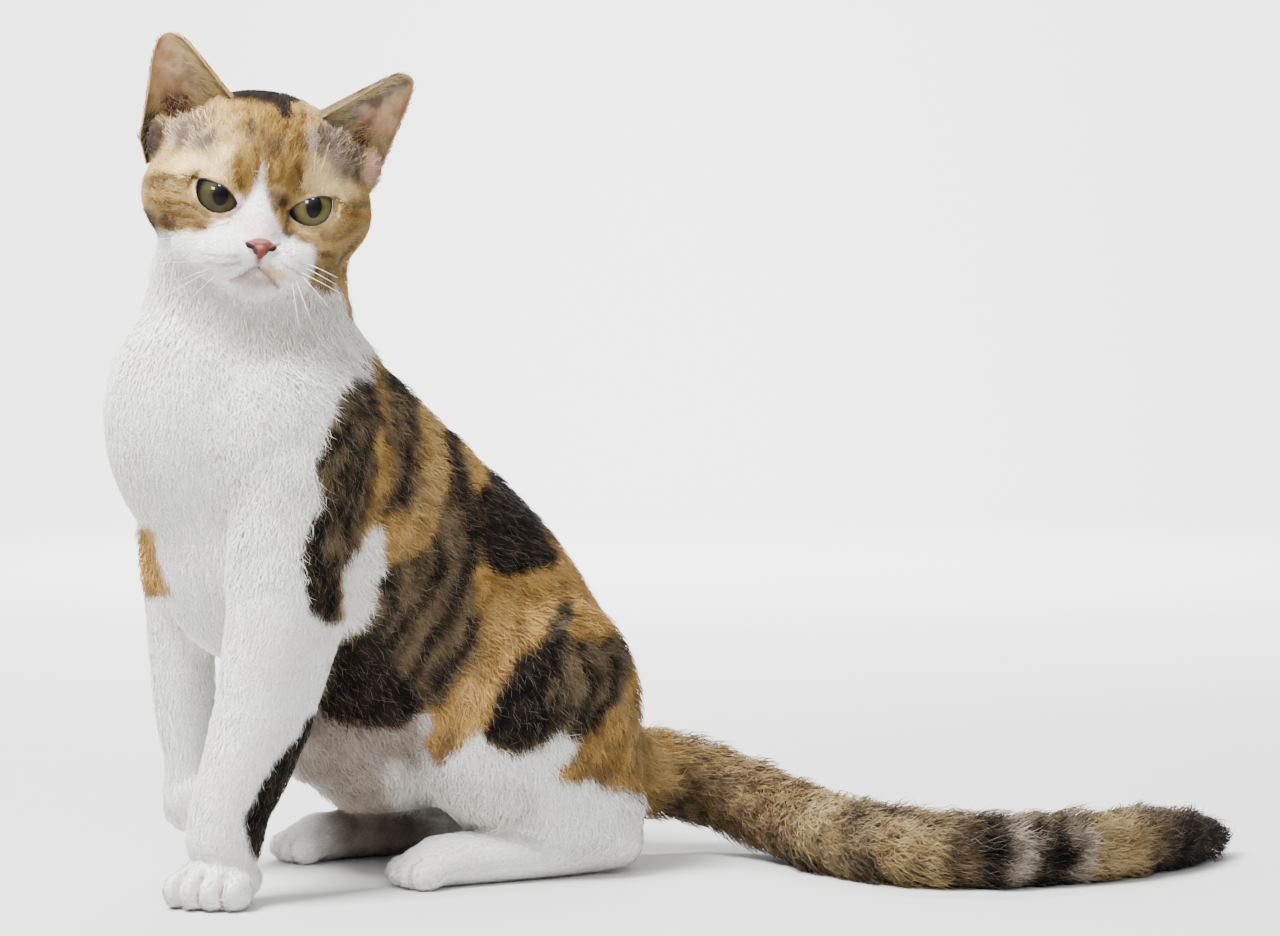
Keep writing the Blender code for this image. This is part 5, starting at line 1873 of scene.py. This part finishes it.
def ear_colour(side, s, turn, inner, points):
    """Colours of an ear: pink depths with painted shade, tan edge and inside, furred back."""
    value = noise(points, 0.5, 41) + 0.5 * noise(points, 0.2, 42)
    if inner:
        x, y = photo_pixels(from_head_axes(points))
        colour = paint_patches(tone("ear_skin", value), EAR_PATCHES, x, y, 3 * value, value)
    else:
        colour = tone("tan" if side > 0 else "ginger", value)
        colour = paint(colour, "tabby", smooth_step(0.35, -0.2, s + 0.2 * value) * 0.9, value)
        if side > 0:
            colour = paint(colour, "tabby", smooth_step(0.1, -0.5, turn + 0.25 * value), value)
    edge = smooth_step(0.93, 1.0, np.maximum(np.abs(turn), s))
    return paint(colour, "cream" if inner else "tan", 0.6 * edge, value)


def ear_shell(side, material):
    """An ear as a thin closed shell with folds inside it."""
    rows, columns = EAR_ROWS, EAR_COLUMNS
    s = EAR_FOOT + (1 - EAR_FOOT) * np.sin(0.5 * np.pi * np.arange(rows) / (rows - 1))
    turn = np.linspace(-1, 1, columns)
    s, turn = (grid.ravel() for grid in np.meshgrid(s, turn, indexing="ij"))
    points, normal, _ = ear_frame(side, s, turn)
    inward = smooth_step(1.0, 0.5, np.abs(turn)) * smooth_step(0.9, 0.1, s)
    thick = EAR_WALL * (0.55 + 0.9 * inward)
    folds = 0.07 * np.sin(9 * turn + 2.5 * s) * smooth_step(0.75, 0.1, s)
    folds *= smooth_step(0.95, 0.6, np.abs(turn))
    outer = points + normal * (thick / 2)[:, None]
    inside = points - normal * (thick / 2 + 0.5 * folds * (folds > 0))[:, None]
    count = rows * columns
    faces = []
    for i in range(rows - 1):
        for j in range(columns - 1):
            a = i * columns + j
            quad = (a, a + 1, a + columns + 1, a + columns)
            for p, q, r, t in (quad, [count + k for k in quad[::-1]]):
                faces += [(p, q, r), (p, r, t)]
    rim = list(range(columns))
    rim += [i * columns + columns - 1 for i in range(1, rows)]
    rim += [(rows - 1) * columns + j for j in range(columns - 2, -1, -1)]
    rim += [i * columns for i in range(rows - 2, 0, -1)]
    for a, b in zip(rim, rim[1:] + rim[:1]):
        faces += [(b, a, count + a), (b, count + a, count + b)]
    mesh = mesh_of_triangles("ear_shell_" + SIDES[side],
                             from_head_axes(np.concatenate([outer, inside])), np.array(faces))
    bm = bmesh.new()
    bm.from_mesh(mesh)
    bmesh.ops.recalc_face_normals(bm, faces=bm.faces)
    bm.to_mesh(mesh)
    bm.free()
    set_colours(mesh, np.concatenate([ear_colour(side, s, turn, False, outer),
                                      ear_colour(side, s, turn, True, inside)]))
    mesh.shade_smooth()
    mesh.materials.append(material)
    return place(new_object("ear_shell_" + SIDES[side], mesh))


def ear_hair(material):
    """Short hairs on the backs and edges of the ears, and long pale ones inside them."""
    head_turn = np.array(HEAD_MATRIX)[:3, :3].T
    parts, seeds = [], []
    for side in SIDES:
        for count, inner, rise, across, *sizes, cross in EAR_HAIR:
            s = RANDOM.uniform(*rise, count)
            s = s[RANDOM.random(count) < 1.15 - s]
            turn = RANDOM.uniform(*across, len(s))
            points, normal, along = ear_frame(side, s, turn)
            facing = -normal if inner else normal
            sideways = ear_frame(side, s, np.clip(turn + 0.05, -1, 1))[0] - points
            flow = along + unit(sideways) * cross
            roots = points + facing * EAR_WALL * 0.3
            colour = ear_colour(side, s, turn, inner, points)
            if cross:
                pale = 0.6 * smooth_step(0.04, 0.16, colour.max(axis=1))
                colour = paint(colour, "cream", pale, noise(points, 0.3, 44))
            length, width, lift = (np.full(len(s), size) for size in sizes)
            parts.append(make_tufts(from_head_axes(roots), facing @ head_turn, flow @ head_turn,
                                    length, width, lift, colour[:, None].repeat(3, axis=1)))
            u = 0.25 + 0.2 * turn + (0.5 if side > 0 else 0)
            v = (0.02 if inner else 0.52) + 0.45 * np.clip((s + 0.3) / 1.3, 0, 1)
            seeds.append(np.stack([u, v], axis=1))
    joined = [np.concatenate(values) for values in zip(*parts)]
    coat_piece("coat_ears", "ear", material, joined, np.concatenate(seeds))


def nose(material):
    """The bare skin of the nose with nostrils and the groove between them."""
    pieces = [on_head(ball(centre, radii)) for centre, radii in NOSE_MASSES]
    made = blend("nose_leather", pieces, NOSE_VOXEL, 8)
    q = in_head_axes(vertex_array(made.data))
    away = distance_to_lines(np.abs(q[:, 0]), q[:, 2], np.array(NOSTRIL_LINE)) / NOSTRIL_WIDTH
    front = q[:, 1] < -4.0
    q[:, 1] += np.where(front, NOSTRIL_DEPTH * np.clip(1 - away ** 2, 0, 1) ** 1.5, 0)
    groove = np.clip(1 - (q[:, 0] / 0.08) ** 2, 0, 1) * smooth_step(-2.3, -2.6, q[:, 2])
    q[:, 1] += 0.05 * groove * front
    set_vertices(made.data, from_head_axes(q))
    # The nostrils, their slits along the wings and the groove between them get dark painted shade
    wings = smooth_step(0.42, 0.5, np.abs(q[:, 0])) * (q[:, 2] < -2.14)
    depth = np.maximum(smooth_step(1.0, 0.6, away), wings)
    salmon, pale, dark = (linear(rgb) for rgb in NOSE_COLOURS)
    colour = mix(salmon, pale, (0.6 * smooth_step(-2.3, -1.95, q[:, 2]))[:, None])
    colour = mix(colour, dark, (0.95 * depth * (q[:, 2] < -1.9))[:, None])
    colour = mix(colour, dark, (0.5 * groove)[:, None])
    set_colours(made.data, colour)
    made.data.shade_smooth()
    made.data.materials.clear()
    made.data.materials.append(material)
    return place(made)


def skin_at(tree, x, y):
    """Where the line of sight through a pixel of the photograph meets the skin."""
    start, ray = pixel_ray(x, y)
    return np.array(tree.ray_cast(Vector(start), Vector(ray))[0])


def whiskers(skin, material):
    """Whiskers and brow hairs, rooted in the skin where the photograph shows their roots."""
    tree = BVHTree.FromPolygons(vertex_array(skin.data).tolist(), triangles_of(skin.data).tolist())
    lines = []
    for table, radius in ((WHISKERS, WHISKER_RADIUS), (BROW_HAIRS, WHISKER_RADIUS * 0.55)):
        for (x0, y0), (x1, y1), nearer in table:
            root = skin_at(tree, x0, y0)
            reach = (RIGHT * (x1 - x0) - UP * (y1 - y0)) / PIXELS_PER_CM
            out = BACK * nearer
            length = np.linalg.norm(reach)
            row, radii = [], []
            for t in np.linspace(-0.06, 1, WHISKER_POINTS):
                past = max(t, 0)
                sag = -0.05 * length * past ** 2
                bow = 0.4 * length * past * (1 - past)
                row.append(root + reach * t + out * t + BACK * bow * 0.5 + UP * sag)
                radii.append(radius * (1 - 0.8 * past))
            lines.append((row, radii, False))
    return tube("whiskers", lines, 6, material)


def add_camera():
    right, up, back = camera_axes()
    data = bpy.data.cameras.new("camera")
    data.sensor_width = SENSOR_MM
    data.lens = FOCAL / PHOTO_WIDTH * SENSOR_MM
    camera = new_object("camera", data)
    spot = (Vector(CAMERA_TARGET) + back * CAMERA_DISTANCE) * CM + SHIFT
    camera.matrix_world = (Matrix.Translation(spot)
                           @ Matrix((right, up, back)).transposed().to_4x4())
    bpy.context.scene.camera = camera


def add_light(name, spot, facing, size, watts, glossy=False):
    """A square light that shines against a direction, on surfaces or only in their gloss."""
    data = bpy.data.lights.new(name, "AREA")
    data.shape = "SQUARE"
    data.size = size
    data.energy = watts
    light = new_object(name, data)
    light.location = spot
    light.rotation_euler = facing.to_track_quat("Z", "Y").to_euler()
    light.visible_glossy = glossy
    light.visible_diffuse = not glossy


def add_lights():
    for name, azimuth, elevation, distance, size, watts, glossy in LIGHTS:
        facing = direction_of(azimuth, elevation)
        target = Vector(FACE_TARGET if glossy else BODY_TARGET)
        add_light(name, target + facing * distance, facing, size, watts, glossy)
    away = -camera_axes()[2]
    spot, aim = away * 2.0 + Vector((0, 0, 2.3)), away * 3.6 + Vector((0, 0, 0.2))
    add_light("backdrop", spot, spot - aim, 1.6, 430)
    world = bpy.data.worlds.new("studio")
    world.use_nodes = True
    background = world.node_tree.nodes["Background"]
    background.inputs["Color"].default_value = (1, 1, 1, 1)
    background.inputs["Strength"].default_value = 0.3
    bpy.context.scene.world = world


def add_floor():
    """A pale floor that sweeps up behind the cat."""
    profile = [(FLOOR_FRONT, 0.0), (FLOOR_BACK, 0.0)]
    for k in range(1, SWEEP_STEPS + 1):
        angle = 0.5 * math.pi * k / SWEEP_STEPS
        profile.append((FLOOR_BACK + SWEEP_RADIUS * math.sin(angle),
                        SWEEP_RADIUS - SWEEP_RADIUS * math.cos(angle)))
    profile.append((FLOOR_BACK + SWEEP_RADIUS, WALL_TOP))
    right, _, back = camera_axes()
    away = Vector((-back.x, -back.y, 0)).normalized()
    bm = bmesh.new()
    rows = [[bm.verts.new(right * reach + away * d + Vector((0, 0, z))) for d, z in profile]
            for reach in (-FLOOR_HALF_WIDTH, FLOOR_HALF_WIDTH)]
    for k in range(len(profile) - 1):
        bm.faces.new((rows[0][k], rows[1][k], rows[1][k + 1], rows[0][k + 1]))
    floor = object_from(bm, "floor")
    floor.data.shade_smooth()
    pale = Shading("floor", {"Base Color": (0.6, 0.6, 0.595, 1), "Roughness": 0.8})
    floor.data.materials.append(pale.material)


def main():
    add_camera()
    add_lights()
    add_floor()
    skin = build_skin()
    points, normals = vertex_array(skin.data), vertex_array(skin.data, "normal")
    set_colours(skin.data, coat_colour(points, normals) * UNDERFUR_SHADE)
    fur = fur_material("fur", 900, 0.5)
    grow_coat(skin, fur)
    ear_hair(fur)
    hair = skin_material("whisker", (236, 234, 228), (214, 210, 202), 0.4, 300)
    declare(whiskers(skin, hair), "fur_white")
    place(skin)
    skin.data.shade_smooth()
    skin.data.materials.clear()
    skin.data.materials.append(fur_material("underfur", 700, 0.8))
    flesh = [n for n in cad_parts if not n.startswith(("eye", "nose", "ear"))]
    declare(skin, "fur_white", *flesh)
    wet = eye_material()
    for side, word in SIDES.items():
        declare(eyeball(side, wet), "eye", "eye_" + word)
    rim_skin = skin_material("lid_skin", (62, 44, 36), (34, 24, 20), 0.35, 400)
    declare(lid_rims(rim_skin), "eye")
    declare(nose(painted_skin_material("nose_skin", 0.42, 1800, 0.5)), "nose", "nose")
    thin = painted_skin_material("ear_skin", 0.6, 700, 0.4)
    for side, word in SIDES.items():
        declare(ear_shell(side, thin), "ear", "ear_" + word)


main()
